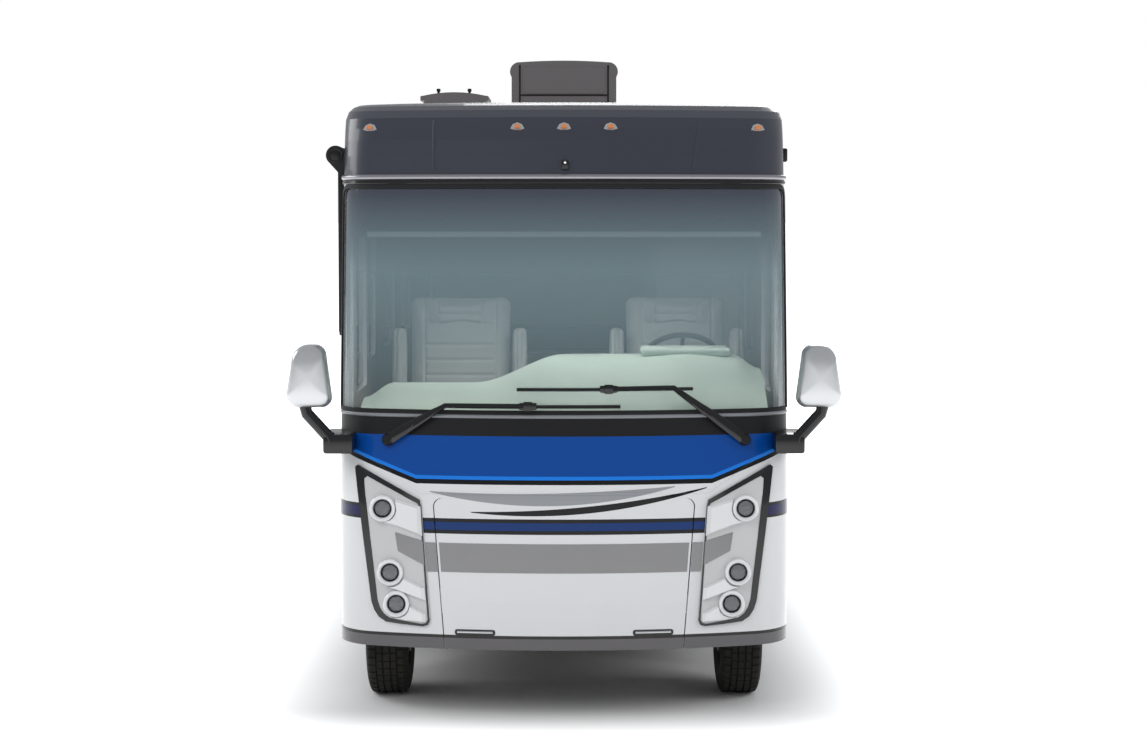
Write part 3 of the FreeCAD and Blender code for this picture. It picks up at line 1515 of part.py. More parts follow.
def mirrors():
    """The two mirrors: a bracket on the nose, a slanted arm and a rounded head, wider at its foot."""
    x0, x1 = S.mirror_in, S.mirror_out
    z0, z1 = S.mirror_low, S.mirror_high
    bend, taper = S.mirror_round, S.mirror_taper
    inset = bend * (1 - HALF_TURN_SHARE)
    y = (back(0) + S.mirror_back - S.mirror_deep, back(0) + S.mirror_back)
    head = front_panel("mirror_head", y, [[
        (x0 + bend, z0), (x1 - bend, z0), (x1, z0 + bend, x1 - inset, z0 + inset), (x1 - taper, z1 - bend),
        (x1 - taper - bend, z1, x1 - taper - inset, z1 - inset), (x0 + taper + bend, z1),
        (x0 + taper, z1 - bend, x0 + taper + inset, z1 - inset), (x0, z0 + bend),
        ("close", x0 + inset, z0 + inset),
    ]])
    arm_y = y[0] + S.mirror_deep / 2
    arm = S.mirror_arm
    bracket_y = (arm_y - S.bracket_deep / 2, back(S.cap_back) - S.front_corner)
    pieces = [
        head,
        front_panel("mirror_bracket", bracket_y,
                    [round_box((S.bracket_in, S.bracket_out), (S.bracket_low, S.bracket_high), arm / 2)]),
        front_panel("mirror_arm", (arm_y - arm, arm_y + arm), [[
            (S.mirror_arm_in - arm, S.mirror_arm_low), (S.mirror_arm_in + arm, S.mirror_arm_low),
            (S.mirror_arm_out + arm, S.mirror_arm_high), (S.mirror_arm_out + arm, z0 + arm),
            (S.mirror_arm_out - arm, z0 + arm), (S.mirror_arm_out - arm, S.mirror_arm_high),
        ]]),
    ]
    left = cut("left_mirror", joined("left_mirror_raw", pieces), [front_out])
    return keep("mirrors", grouped("mirror_pair", [left, mirrored("right_mirror", left)]))


def wiper(name, base_x, elbow_x, high, blade_x):
    """One wiper along the glass: a tapered arm and its blade."""
    lift = float(S.wiper_lift) + float(S.wiper_rod)

    def on_glass(x, level):
        return FreeCAD.Vector(x, float(front) + skin_depth(x, level) - lift, level)

    def bar(points):
        bars = []
        for a, b in zip(points, points[1:]):
            bars.append(Part.makeCylinder(float(S.wiper_rod), a.distanceToPoint(b), a, b - a))
            bars.append(Part.makeSphere(float(S.wiper_rod), b))
        return bars + [Part.makeSphere(float(S.wiper_rod), points[0])]

    base_z = float(S.wiper_base_high)
    start = on_glass(float(base_x), base_z)
    elbow = on_glass(float(elbow_x), float(high))
    ends = [float(value) for value in blade_x]
    blade = []
    for share in WIPER_SHARES:
        blade.append(on_glass(ends[0] + (ends[1] - ends[0]) * share, float(high)))
    knob = Part.makeCylinder(float(S.wiper_knob), float(S.wiper_knob_long),
                             start + FreeCAD.Vector(0, -lift / 2, 0), FreeCAD.Vector(0, 1, 0))
    solids = bar([start, elbow]) + bar(blade) + [knob]
    middle = blade[len(blade) // 2]
    solids += bar([elbow, on_glass(middle.x, middle.z)])
    return formed(name, solids[0].multiFuse(solids[1:]).removeSplitter())


def wipers():
    """Both wipers, parked across the glass and seated on the cowl."""
    left = wiper("left_wiper_raw", S.left_wiper_base, S.left_wiper_elbow, S.left_wiper_high,
                 (S.left_blade_from, S.left_blade_to))
    right = wiper("right_wiper_raw", S.right_wiper_base, S.right_wiper_elbow, S.right_wiper_high,
                  (S.right_blade_from, S.right_blade_to))
    pieces = [cut("left_wiper", left, [front_out]), cut("right_wiper", right, [front_out])]
    return keep("wipers", grouped("wiper_pair", pieces))


def roof_units():
    """The air conditioner's cover and the vent dome."""
    body, sketch = start_body("cooler", "XZ_Plane", [[
        (-S.cooler_half, S.edge_high), (S.cooler_half, S.edge_high),
        (S.cooler_half, roof_high + S.cooler_tall - S.cooler_round - S.crown),
        (S.cooler_half - S.cooler_taper, roof_high + S.cooler_tall - S.crown / 2,
         S.cooler_half - S.cooler_taper * (1 - HALF_TURN_SHARE), roof_high + S.cooler_tall - S.crown),
        (-S.cooler_half + S.cooler_taper, roof_high + S.cooler_tall - S.crown / 2,
         0, roof_high + S.cooler_tall),
        (-S.cooler_half, roof_high + S.cooler_tall - S.cooler_round - S.crown,
         -S.cooler_half + S.cooler_taper * (1 - HALF_TURN_SHARE), roof_high + S.cooler_tall - S.crown),
    ]])
    feature = body.newObject("PartDesign::Pad", "cooler_pad")
    feature.Profile = sketch
    bind(feature, "Length", S.cooler_long)
    place(body, y=back(S.cooler_front + S.cooler_long))
    lid_x = (-S.vent_in - S.vent_wide, -S.vent_in)
    lid_low = roof_high + S.vent_tall - S.vent_lid
    lid_mid = -S.vent_in - S.vent_wide / 2
    dome = front_panel("dome", (back(S.vent_front), back(S.vent_front + S.vent_long)), [[
        (lid_x[0] + S.vent_brim, S.edge_high), (lid_x[1] - S.vent_brim, S.edge_high),
        (lid_x[1] - S.vent_brim, lid_low), (lid_x[1], lid_low), (lid_x[1], lid_low + S.vent_lid / 2),
        (lid_x[0], lid_low + S.vent_lid / 2, lid_mid, roof_high + S.vent_tall), (lid_x[0], lid_low),
        (lid_x[0] + S.vent_brim, lid_low),
    ]])
    filled = front_panel("roof_fill", (back(S.brow_back), body_end), [roof_fill_outline()])
    return keep("roof_units", grouped("roof_pair", [cut("cooler_cover", body, [filled]),
                                                    cut("vent_dome", dome, [filled])]))


def roof_fill_outline():
    """The roof's outside as a full section."""
    turn = math.radians(CORNER_TURN_SHARES[-1][0])
    x = half - S.roof_corner + S.roof_corner * math.cos(turn)
    z = S.edge_high + S.roof_corner * math.sin(turn)
    mid_x = half - S.roof_corner + S.roof_corner * math.cos(turn / 2)
    mid_z = S.edge_high + S.roof_corner * math.sin(turn / 2)
    return [
        (half, floor_high), (half, S.edge_high), (x, z, mid_x, mid_z), (-x, z, 0, z + S.crown),
        (-half, S.edge_high, -mid_x, mid_z), (-half, floor_high),
    ]


def awning():
    """The rolled awning on the kerb side with its two folded arms."""
    y = (back(S.awning_front), back(S.awning_front + S.awning_long))
    x = -half - S.awning_out
    pieces = [rod("awning_roll", "y", S.awning_radius, (x, y[0], S.awning_high), S.awning_long)]
    arm_x = (x - S.awning_arm / 2, -half)
    for number, start in enumerate((y[0] + S.awning_arm_set, y[1] - S.awning_arm_set - S.awning_arm)):
        pieces.append(block(f"awning_arm_{number}", arm_x, (start, start + S.awning_arm),
                            (S.awning_arm_low, S.awning_high)))
    for number, start in enumerate((y[0], y[1] - S.awning_arm)):
        pieces.append(rod(f"awning_head_{number}", "y", S.awning_radius + S.seam, (x, start, S.awning_high),
                          S.awning_arm))
    return keep("awning", joined("awning_parts", pieces))


# Inside the cab

cab_room = front_block("cab_room", S.skin + S.seat_gap)


def dashboard():
    """The dashboard with the driver's binnacle, and the steering column."""
    low = floor_high
    outline = [
        (back(S.floor_front), low), (back(S.dash_low_back), low), (back(S.dash_low_back), S.dash_knee_high),
        (back(S.dash_back), S.dash_lip_high), (back(S.dash_back), S.dash_high),
        (back(S.binnacle_front), S.dash_high), (back(S.dash_front), S.dash_front_high),
        (back(S.dash_front), S.dash_knee_high),
    ]
    raised = [
        (back(S.binnacle_front), S.dash_knee_high), (back(S.dash_back), S.dash_lip_high),
        (back(S.dash_back + S.dash_lip), S.dash_high), (back(S.dash_back + S.dash_lip), S.binnacle_high),
        (back(S.binnacle_front), S.binnacle_high), (back(S.dash_front + S.dash_lip), S.dash_high),
    ]
    pieces = [
        side_panel("dash_body", (-S.dash_half, S.dash_half), [outline]),
        side_panel("dash_binnacle", (S.binnacle_in, S.dash_half), [raised]),
        aimed_rod("column", S.column_radius, S.wheel_out, back(S.wheel_deep), S.wheel_high, S.wheel_hub_long,
                  S.wheel_deep - S.dash_back + S.dash_lip),
    ]
    return keep("dashboard", shared("dash", [joined("dash_raw", pieces), cab_room]))


def aimed_rod(name, radius, x, y, z, start, long):
    """A bar along the tilted steering axis, starting below the wheel and running down and ahead."""
    bar = doc.addObject("Part::Cylinder", name)
    tilt = float(S.wheel_tilt)
    bar.Placement = FreeCAD.Placement(FreeCAD.Vector(), FreeCAD.Rotation(FreeCAD.Vector(1, 0, 0), 180 - tilt))
    bind(bar, "Radius", radius)
    bind(bar, "Height", long)
    lean, fall = math.sin(math.radians(tilt)), math.cos(math.radians(tilt))
    return place(bar, x=size(x), y=y - start * lean, z=z - start * fall)


def steering_wheel():
    """The steering wheel: a rim, a hub and three spokes on the tilted axis."""
    ring = Part.makeTorus(float(S.wheel_radius), float(S.wheel_rim))
    hub = Part.makeCylinder(float(S.wheel_hub), float(S.wheel_hub_long),
                            FreeCAD.Vector(0, 0, -float(S.wheel_hub_long)))
    solids = [hub]
    for degrees in SPOKE_TURNS:
        turn = FreeCAD.Rotation(FreeCAD.Vector(0, 0, 1), degrees)
        tip = turn.multVec(FreeCAD.Vector(float(S.wheel_radius), 0, 0))
        root = FreeCAD.Vector(0, 0, -float(S.wheel_hub_long) / 2)
        solids.append(Part.makeCylinder(float(S.wheel_spoke), root.distanceToPoint(tip), root, tip - root))
    shape = ring.multiFuse(solids)
    feature = formed("steering_ring", shape)
    feature.Placement = FreeCAD.Placement(FreeCAD.Vector(),
                                          FreeCAD.Rotation(FreeCAD.Vector(1, 0, 0), -float(S.wheel_tilt)))
    return keep("steering_wheel", place(feature, x=S.wheel_out, y=back(S.wheel_deep), z=S.wheel_high))


def overhead_cabinet():
    """The cabinet above the windshield, fitted under the brow."""
    raw = block("cabinet", (-S.cabinet_half, S.cabinet_half), (back(S.cabinet_front), back(S.cabinet_back)),
                (S.cabinet_low, roof_high))
    return keep("overhead_cabinet", shared("cabinet_fitted", [raw, cab_room]))


def front_seats():
    """Both cab seats as plain closed solids on posts."""
    seats = []
    for name, middle in (("driver", S.seat_driver), ("mate", S.seat_mate)):
        post_mid = (S.seat_front + S.seat_back) / 2
        outline = [
            (back(post_mid - S.seat_post), floor_high), (back(post_mid + S.seat_post), floor_high),
            (back(post_mid + S.seat_post), S.seat_low), (back(S.seat_back), S.seat_low),
            (back(S.seat_back + S.seat_recline), S.seat_top),
            (back(S.seat_back + S.seat_recline - S.seat_back_thick), S.seat_top),
            (back(S.seat_back - S.seat_back_thick), S.seat_high), (back(S.seat_front), S.seat_high),
            (back(S.seat_front), S.seat_low), (back(post_mid - S.seat_post), S.seat_low),
        ]
        pieces = [side_panel(f"{name}_seat_body", (middle - S.seat_half, middle + S.seat_half), [outline])]
        for side in (-1, 1):
            inner, outer = middle + side * (S.seat_half - S.overrun), middle + side * (S.seat_half + S.seat_arm)
            pieces.append(block(f"{name}_arm_{side + 1}", sorted((inner, outer), key=float),
                                (back(S.seat_arm_front), back(S.seat_back)), (S.seat_arm_low, S.seat_arm_high)))
        seats.append(joined(f"{name}_seat", pieces))
    return keep("front_seats", grouped("seat_pair", seats))


def build():
    """Makes every sub-part."""
    frame_rails()
    floor_joists()
    engine()
    driveline()
    front_axle()
    rear_axle()
    fuel_tank()
    exhaust()
    for name, side in (("left", 1), ("right", -1)):
        wheel(f"{name}_front", [(side * S.track_half, axle_front, side, S.disc_out, True)])
        wheel(f"{name}_rear", [
            (side * (S.twin_mid - S.twin_apart / 2), axle_rear, side, S.disc_out, False),
            (side * (S.twin_mid + S.twin_apart / 2), axle_rear, side, -S.disc_in, True),
        ])
        knuckle(side)
    tie_rod()
    floor()
    entry_steps()
    walls()
    side_glass()
    roof()
    basements()
    baggage_doors()
    entry_door()
    slide_room()
    slide_topper()
    nose()
    front_pieces()
    marker_lamps()
    tail()
    ladder()
    rear_bumper()
    mirrors()
    wipers()
    roof_units()
    awning()
    dashboard()
    steering_wheel()
    overhead_cabinet()
    front_seats()


def check():
    """Stops if any object failed or any sub-part is broken."""
    for thing in doc.Objects:
        if "Invalid" in thing.State or "Error" in thing.State:
            raise RuntimeError(f"{thing.Name} failed: {thing.State}")
    for name, thing in NODES.items():
        if thing.Shape.isNull() or not thing.Shape.isValid():
            raise RuntimeError(f"{name} has no valid shape")


build()
doc.recompute()
check()
os.makedirs("parts", exist_ok=True)
for name, thing in NODES.items():
    thing.Shape.exportStep(os.path.join("parts", f"{name}.step"))
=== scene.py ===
import math

import bmesh
import bpy
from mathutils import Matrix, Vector


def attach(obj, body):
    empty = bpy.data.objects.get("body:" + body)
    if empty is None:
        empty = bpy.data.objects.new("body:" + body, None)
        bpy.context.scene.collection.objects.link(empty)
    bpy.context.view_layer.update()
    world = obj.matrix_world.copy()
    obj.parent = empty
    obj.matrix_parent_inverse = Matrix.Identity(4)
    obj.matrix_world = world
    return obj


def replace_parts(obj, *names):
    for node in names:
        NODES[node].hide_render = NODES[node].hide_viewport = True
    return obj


# Looks of a front-engined motorhome, in metres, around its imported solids.
# The front faces -Y, the driver's side is +X and the kerb side -X.

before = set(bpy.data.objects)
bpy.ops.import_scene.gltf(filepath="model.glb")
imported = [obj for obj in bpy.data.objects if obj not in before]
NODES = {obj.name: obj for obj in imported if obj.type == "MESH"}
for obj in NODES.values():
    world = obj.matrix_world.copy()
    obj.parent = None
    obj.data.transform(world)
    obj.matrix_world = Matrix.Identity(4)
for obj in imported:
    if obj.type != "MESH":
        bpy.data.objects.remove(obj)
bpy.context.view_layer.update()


# Shader groups

MIX_FIRST, MIX_SECOND, MIX_COLOUR = 6, 7, 2


def add_node(tree, kind, **settings):
    """A shader node with some of its inputs or properties set."""
    node = tree.nodes.new(kind)
    for name, value in settings.items():
        plain = name.replace("_", " ")
        if plain in node.inputs:
            node.inputs[plain].default_value = value
        else:
            setattr(node, name, value)
    return node


def mixed(tree, mask, first, second):
    """Two colours mixed by a mask, each a socket or a plain colour."""
    node = add_node(tree, "ShaderNodeMix", data_type="RGBA")
    tree.links.new(mask, node.inputs["Factor"])
    for index, colour in ((MIX_FIRST, first), (MIX_SECOND, second)):
        if isinstance(colour, tuple):
            node.inputs[index].default_value = colour
        else:
            tree.links.new(colour, node.inputs[index])
    return node.outputs[MIX_COLOUR]


def combine(tree, how, first, second, third=None, clamp=False):
    """One maths node on its values, each a socket or a number."""
    node = add_node(tree, "ShaderNodeMath", operation=how, use_clamp=clamp)
    for index, value in enumerate((first, second, third)):
        if value is None:
            continue
        if isinstance(value, (int, float)):
            node.inputs[index].default_value = value
        else:
            tree.links.new(value, node.inputs[index])
    return node.outputs[0]


def coach_place(tree):
    """Where a point sits on the coach, as three values."""
    parts = add_node(tree, "ShaderNodeSeparateXYZ")
    tree.links.new(add_node(tree, "ShaderNodeTexCoord").outputs["Object"], parts.inputs[0])
    return [parts.outputs[axis] for axis in "XYZ"]


def start_group(name, inputs, outputs):
    """An empty shader group with plain number inputs and outputs."""
    group = bpy.data.node_groups.new(name, "ShaderNodeTree")
    for label, default in inputs:
        socket = group.interface.new_socket(label, in_out="INPUT", socket_type="NodeSocketFloat")
        socket.default_value = default
    for label in outputs:
        group.interface.new_socket(label, in_out="OUTPUT", socket_type="NodeSocketFloat")
    return group, group.nodes.new("NodeGroupInput"), group.nodes.new("NodeGroupOutput")


def grain_group():
    """Fine moulded grain, as a height, and slow blotches, as a mask."""
    group, given, result = start_group("Fine grain", [("Scale", 400.0), ("Blotch Scale", 3.0)],
                                       ["Height", "Blotch"])
    place = add_node(group, "ShaderNodeTexCoord").outputs["Object"]
    fine = add_node(group, "ShaderNodeTexNoise", Detail=3.0)
    slow = add_node(group, "ShaderNodeTexNoise", Detail=5.0)
    for texture, label, out in ((fine, "Scale", "Height"), (slow, "Blotch Scale", "Blotch")):
        group.links.new(place, texture.inputs["Vector"])
        group.links.new(given.outputs[label], texture.inputs["Scale"])
        group.links.new(texture.outputs["Fac"], result.inputs[out])
    return group


def film_group():
    """Road film that grows towards the ground, broken up by streaks."""
    group, given, result = start_group("Road film", [("Clean Height", 1.0), ("Dirty Height", 0.2)], ["Mask"])
    ramp = add_node(group, "ShaderNodeMapRange")
    group.links.new(coach_place(group)[2], ramp.inputs["Value"])
    group.links.new(given.outputs["Clean Height"], ramp.inputs["From Min"])
    group.links.new(given.outputs["Dirty Height"], ramp.inputs["From Max"])
    streaks = add_node(group, "ShaderNodeTexNoise", Scale=9.0, Detail=6.0)
    group.links.new(add_node(group, "ShaderNodeTexCoord").outputs["Object"], streaks.inputs["Vector"])
    group.links.new(combine(group, "MULTIPLY", ramp.outputs[0], streaks.outputs["Fac"]), result.inputs["Mask"])
    return group


def brushed_group():
    """Long fine scratches across the coach, as on brushed metal."""
    group, given, result = start_group("Brushed lines", [("Length", 4.0), ("Fineness", 900.0)], ["Height"])
    stretched = add_node(group, "ShaderNodeCombineXYZ")
    for index, (value, label) in enumerate(zip(coach_place(group), ("Length", "Length", "Fineness"))):
        group.links.new(combine(group, "MULTIPLY", value, given.outputs[label]), stretched.inputs[index])
    lines = add_node(group, "ShaderNodeTexNoise", Scale=1.0, Detail=2.0)
    group.links.new(stretched.outputs[0], lines.inputs["Vector"])
    group.links.new(lines.outputs["Fac"], result.inputs["Height"])
    return group


def wear_group():
    """Where edges are rubbed, from how sharply the surface turns."""
    group, given, result = start_group("Edge wear", [("Reach", 0.53), ("Softness", 0.06)], ["Mask"])
    turn = add_node(group, "ShaderNodeNewGeometry").outputs["Pointiness"]
    past = combine(group, "SUBTRACT", turn, given.outputs["Reach"])
    group.links.new(combine(group, "DIVIDE", past, given.outputs["Softness"], clamp=True),
                    result.inputs["Mask"])
    return group


GRAIN = grain_group()
FILM = film_group()
BRUSHED = brushed_group()
WEAR = wear_group()


# Materials

DUST = (0.30, 0.27, 0.23, 1.0)


def use_group(tree, group, **values):
    """A placed copy of a shader group with its own values."""
    node = tree.nodes.new("ShaderNodeGroup")
    node.node_tree = group
    for name, value in values.items():
        node.inputs[name.replace("_", " ")].default_value = value
    return node


def tint(colour, share):
    """A colour made lighter or darker by a share."""
    return tuple(min(1.0, channel * share) for channel in colour[:3]) + (1.0,)


def start_material(name):
    """A new material with its node tree and its shader."""
    material = bpy.data.materials.new(name)
    material.use_nodes = True
    return material, material.node_tree, material.node_tree.nodes["Principled BSDF"]


def spread_roughness(tree, shader, blotch, roughness):
    """Lets the roughness drift a little over the surface."""
    spread = add_node(tree, "ShaderNodeMapRange", To_Min=roughness * 0.88, To_Max=min(1.0, roughness * 1.15))
    tree.links.new(blotch, spread.inputs["Value"])
    tree.links.new(spread.outputs[0], shader.inputs["Roughness"])


def finish(name, colour, roughness, grain=400.0, depth=0.0, metallic=0.0, coat=0.0, sheen=0.0,
           blotch=0.08, film=0.0, wear=0.0, brushed=False, specular=0.5):
    """A moulded or painted surface with its grain, road film and rubbed edges."""
    material, tree, shader = start_material(name)
    shader.inputs["Specular IOR Level"].default_value = specular
    shader.inputs["Metallic"].default_value = metallic
    shader.inputs["Coat Weight"].default_value = coat
    shader.inputs["Coat Roughness"].default_value = 0.06
    shader.inputs["Sheen Weight"].default_value = sheen
    pattern = use_group(tree, GRAIN, Scale=grain)
    surface = mixed(tree, pattern.outputs["Blotch"], tint(colour, 1 - blotch), tint(colour, 1 + blotch))
    if wear:
        rubbed = combine(tree, "MULTIPLY", use_group(tree, WEAR).outputs["Mask"], wear)
        surface = mixed(tree, rubbed, surface, tint(colour, 1.9))
    if film:
        dusty = combine(tree, "MULTIPLY", use_group(tree, FILM).outputs["Mask"], film)
        surface = mixed(tree, dusty, surface, DUST)
    tree.links.new(surface, shader.inputs["Base Color"])
    spread_roughness(tree, shader, pattern.outputs["Blotch"], roughness)
    if depth:
        bump = add_node(tree, "ShaderNodeBump", Strength=0.6, Distance=depth)
        height = use_group(tree, BRUSHED).outputs["Height"] if brushed else pattern.outputs["Height"]
        tree.links.new(height, bump.inputs["Height"])
        tree.links.new(bump.outputs[0], shader.inputs["Normal"])
    return material


def glass_finish(name, high, low, heights, alphas, roughness=0.03, turns=None):
    """Tinted glass. Its depth of tint changes from foot to top, and its colour there or between two turns. On the
    windshield the pale teal at the foot is partly the glass's tint and partly a painted reflection.
    """
    material, tree, shader = start_material(name)
    shader.inputs["Specular IOR Level"].default_value = 0.8
    shader.inputs["Coat Weight"].default_value = 0.6
    shader.inputs["Coat Roughness"].default_value = 0.02
    rise, change = (add_node(tree, "ShaderNodeMapRange", From_Min=start, From_Max=end)
                    for start, end in (heights, turns or heights))
    for ramp in (rise, change):
        tree.links.new(coach_place(tree)[2], ramp.inputs["Value"])
    tree.links.new(mixed(tree, change.outputs[0], low, high), shader.inputs["Base Color"])
    veil = add_node(tree, "ShaderNodeMapRange", To_Min=alphas[0], To_Max=alphas[1])
    tree.links.new(rise.outputs[0], veil.inputs["Value"])
    tree.links.new(veil.outputs[0], shader.inputs["Alpha"])
    smear = use_group(tree, GRAIN, Scale=40.0)
    spread_roughness(tree, shader, smear.outputs["Blotch"], roughness)
    return material


class Paint:
    """A painted panel whose colours are masked by where each point sits on the coach."""

    edge = 1500.0

    def __init__(self, name, colour, roughness=0.22):
        self.material = finish(name, colour, roughness, coat=0.10, blotch=0.012, specular=0.20)
        self.tree = self.material.node_tree
        self.shader = self.tree.nodes["Principled BSDF"]
        self.x, self.y, self.z = coach_place(self.tree)
        self.across = combine(self.tree, "ABSOLUTE", self.x, 0.0)
        self.surface = self.shader.inputs["Base Color"].links[0].from_socket

    def line(self, start, end, along):
        """The height of the straight line through two (place, height) points."""
        slope = (end[1] - start[1]) / (end[0] - start[0])
        return combine(self.tree, "MULTIPLY_ADD", along, slope, start[1] - slope * start[0])

    def curve(self, places, along):
        """The height of the parabola through three (place, height) points."""
        (a, u), (b, v), (c, w) = places
        square = ((w - u) / (c - a) - (v - u) / (b - a)) / (c - b)
        slope = (v - u) / (b - a) - square * (a + b)
        base = u - slope * a - square * a * a
        inner = combine(self.tree, "MULTIPLY_ADD", along, square, slope)
        return combine(self.tree, "MULTIPLY_ADD", along, inner, base)

    def above(self, value, level):
        """1 where a value is above a level, with an edge under a millimetre soft."""
        past = combine(self.tree, "SUBTRACT", value, level)
        return combine(self.tree, "MULTIPLY_ADD", past, self.edge, 0.5, clamp=True)

    def below(self, value, level):
        """1 where a value is below a level."""
        past = combine(self.tree, "SUBTRACT", level, value)
        return combine(self.tree, "MULTIPLY_ADD", past, self.edge, 0.5, clamp=True)

    def band(self, value, low, high):
        """1 where a value is between two levels."""
        return self.every(self.above(value, low), self.below(value, high))

    def every(self, *masks):
        """Where all the masks hold."""
        whole = masks[0]
        for mask in masks[1:]:
            whole = combine(self.tree, "MULTIPLY", whole, mask)
        return whole

    def lay(self, mask, colour):
        """Lays a colour over what is painted so far."""
        self.surface = mixed(self.tree, mask, self.surface, colour)

    def done(self, film=0.10):
        """The finished material."""
        dusty = use_group(self.tree, FILM, Clean_Height=0.9, Dirty_Height=0.3)
        self.lay(combine(self.tree, "MULTIPLY", dusty.outputs["Mask"], film), DUST)
        self.tree.links.new(self.surface, self.shader.inputs["Base Color"])
        return self.material


WHITE = (0.72, 0.725, 0.735, 1.0)
NAVY = (0.030, 0.033, 0.048, 1.0)
BLACK = (0.006, 0.006, 0.007, 1.0)
ROYAL = (0.002, 0.060, 0.30, 1.0)
# A lighter copy of the royal blue, painted as the highlight along the blue panel's foot crease.
CREASE_HIGHLIGHT_BLUE = (0.01, 0.19, 0.72, 1.0)
STRIPE_BLUE = (0.001, 0.030, 0.15, 1.0)
DEEP_BLUE = (0.008, 0.010, 0.070, 1.0)
GREY = (0.108, 0.104, 0.110, 1.0)
MID_GREY = (0.30, 0.31, 0.33, 1.0)
# The lamp pods' white is the body's white paint made darker: painted shade for their recessed faces.
POD_SHADED_WHITE = (0.56, 0.565, 0.565, 1.0)
LINING = (0.42, 0.38, 0.33, 1.0)


def lay_foot(paint):
    """The grey band along the foot of the coach with a black line above it."""
    paint.lay(paint.below(paint.z, 0.512), BLACK)
    paint.lay(paint.below(paint.z, 0.494), GREY)


def lay_side_band(paint):
    """The long band down each side, rising and widening towards the tail."""
    low = paint.curve([(-4.9, 1.152), (-1.0, 1.240), (4.8, 1.52)], paint.y)
    high = paint.curve([(-4.9, 1.236), (-1.0, 1.370), (4.8, 1.80)], paint.y)
    side = paint.above(paint.across, 1.11)
    paint.lay(paint.every(side, paint.band(paint.z, low, high)), BLACK)
    inner_low = combine(paint.tree, "ADD", low, 0.016)
    inner_high = combine(paint.tree, "SUBTRACT", high, 0.016)
    paint.lay(paint.every(side, paint.band(paint.z, inner_low, inner_high)), DEEP_BLUE)
    echo_low = paint.curve([(-3.2, 1.02), (0.5, 1.13), (4.8, 1.33)], paint.y)
    echo_high = paint.curve([(-3.2, 1.02), (0.5, 1.19), (4.8, 1.44)], paint.y)
    paint.lay(paint.every(side, paint.band(paint.z, echo_low, echo_high)), MID_GREY)
    crest_low = paint.curve([(-1.8, 1.40), (1.5, 1.56), (4.8, 1.92)], paint.y)
    crest_high = paint.curve([(-1.8, 1.40), (1.5, 1.63), (4.8, 2.04)], paint.y)
    paint.lay(paint.every(side, paint.above(paint.y, -1.8), paint.band(paint.z, crest_low, crest_high)), ROYAL)


def lay_front(paint):
    """The blue panel below the windshield, the swept flashes and the stripe across the hatch."""
    flash = paint.curve([(-0.75, 1.315), (-0.1, 1.245), (0.62, 1.345)], paint.x)
    flash_top = paint.curve([(-0.75, 1.32), (-0.1, 1.315), (0.62, 1.35)], paint.x)
    paint.lay(paint.every(paint.band(paint.x, -0.75, 0.62), paint.band(paint.z, flash, flash_top)), MID_GREY)
    second = paint.curve([(-0.52, 1.205), (0.02, 1.195), (0.80, 1.335)], paint.x)
    second_top = paint.curve([(-0.52, 1.21), (0.02, 1.232), (0.80, 1.34)], paint.x)
    paint.lay(paint.every(paint.band(paint.x, -0.52, 0.80), paint.band(paint.z, second, second_top)), BLACK)
    foot = paint.line((0.83, 1.387), (1.15, 1.507), paint.across)
    foot = combine(paint.tree, "MAXIMUM", foot, 1.387)
    below_foot = combine(paint.tree, "SUBTRACT", foot, 0.026)
    above_foot = combine(paint.tree, "ADD", foot, 0.020)
    middle = paint.every(paint.below(paint.across, 1.235), paint.below(paint.z, 1.70))
    paint.lay(paint.every(middle, paint.above(paint.z, below_foot)), BLACK)
    # Painted highlight: a lighter blue band just above the panel's foot crease, where the crease catches the
    # light.
    paint.lay(paint.every(middle, paint.above(paint.z, foot)), CREASE_HIGHLIGHT_BLUE)
    paint.lay(paint.every(middle, paint.above(paint.z, above_foot)), ROYAL)
    inner = paint.below(paint.across, 0.86)
    paint.lay(paint.every(inner, paint.band(paint.z, 1.085, 1.171)), BLACK)
    paint.lay(paint.every(inner, paint.band(paint.z, 1.106, 1.150)), STRIPE_BLUE)


def front_paint():
    """The white nose with its blue panel, stripes and grey foot."""
    paint = Paint("nose paint", WHITE)
    lay_front(paint)
    lay_side_band(paint)
    lay_foot(paint)
    return paint.done()


def side_paint():
    """The white sides with their long band, grey foot and a plain lining inside."""
    paint = Paint("side paint", WHITE)
    lay_side_band(paint)
    lay_foot(paint)
    paint.lay(paint.every(paint.below(paint.across, 1.2365), paint.above(paint.z, 1.0)), LINING)
    return paint.done()


def slide_paint():
    """The slide room in white, with the side's band across it."""
    paint = Paint("slide paint", WHITE)
    lay_side_band(paint)
    return paint.done()


def tail_paint():
    """The white rear with the band carried across it, and its grey foot."""
    paint = Paint("tail paint", WHITE)
    lay_side_band(paint)
    back = paint.above(paint.y, 4.60)
    paint.lay(paint.every(back, paint.band(paint.z, 1.512, 1.772)), BLACK)
    paint.lay(paint.every(back, paint.band(paint.z, 1.528, 1.756)), DEEP_BLUE)
    lay_foot(paint)
    return paint.done()


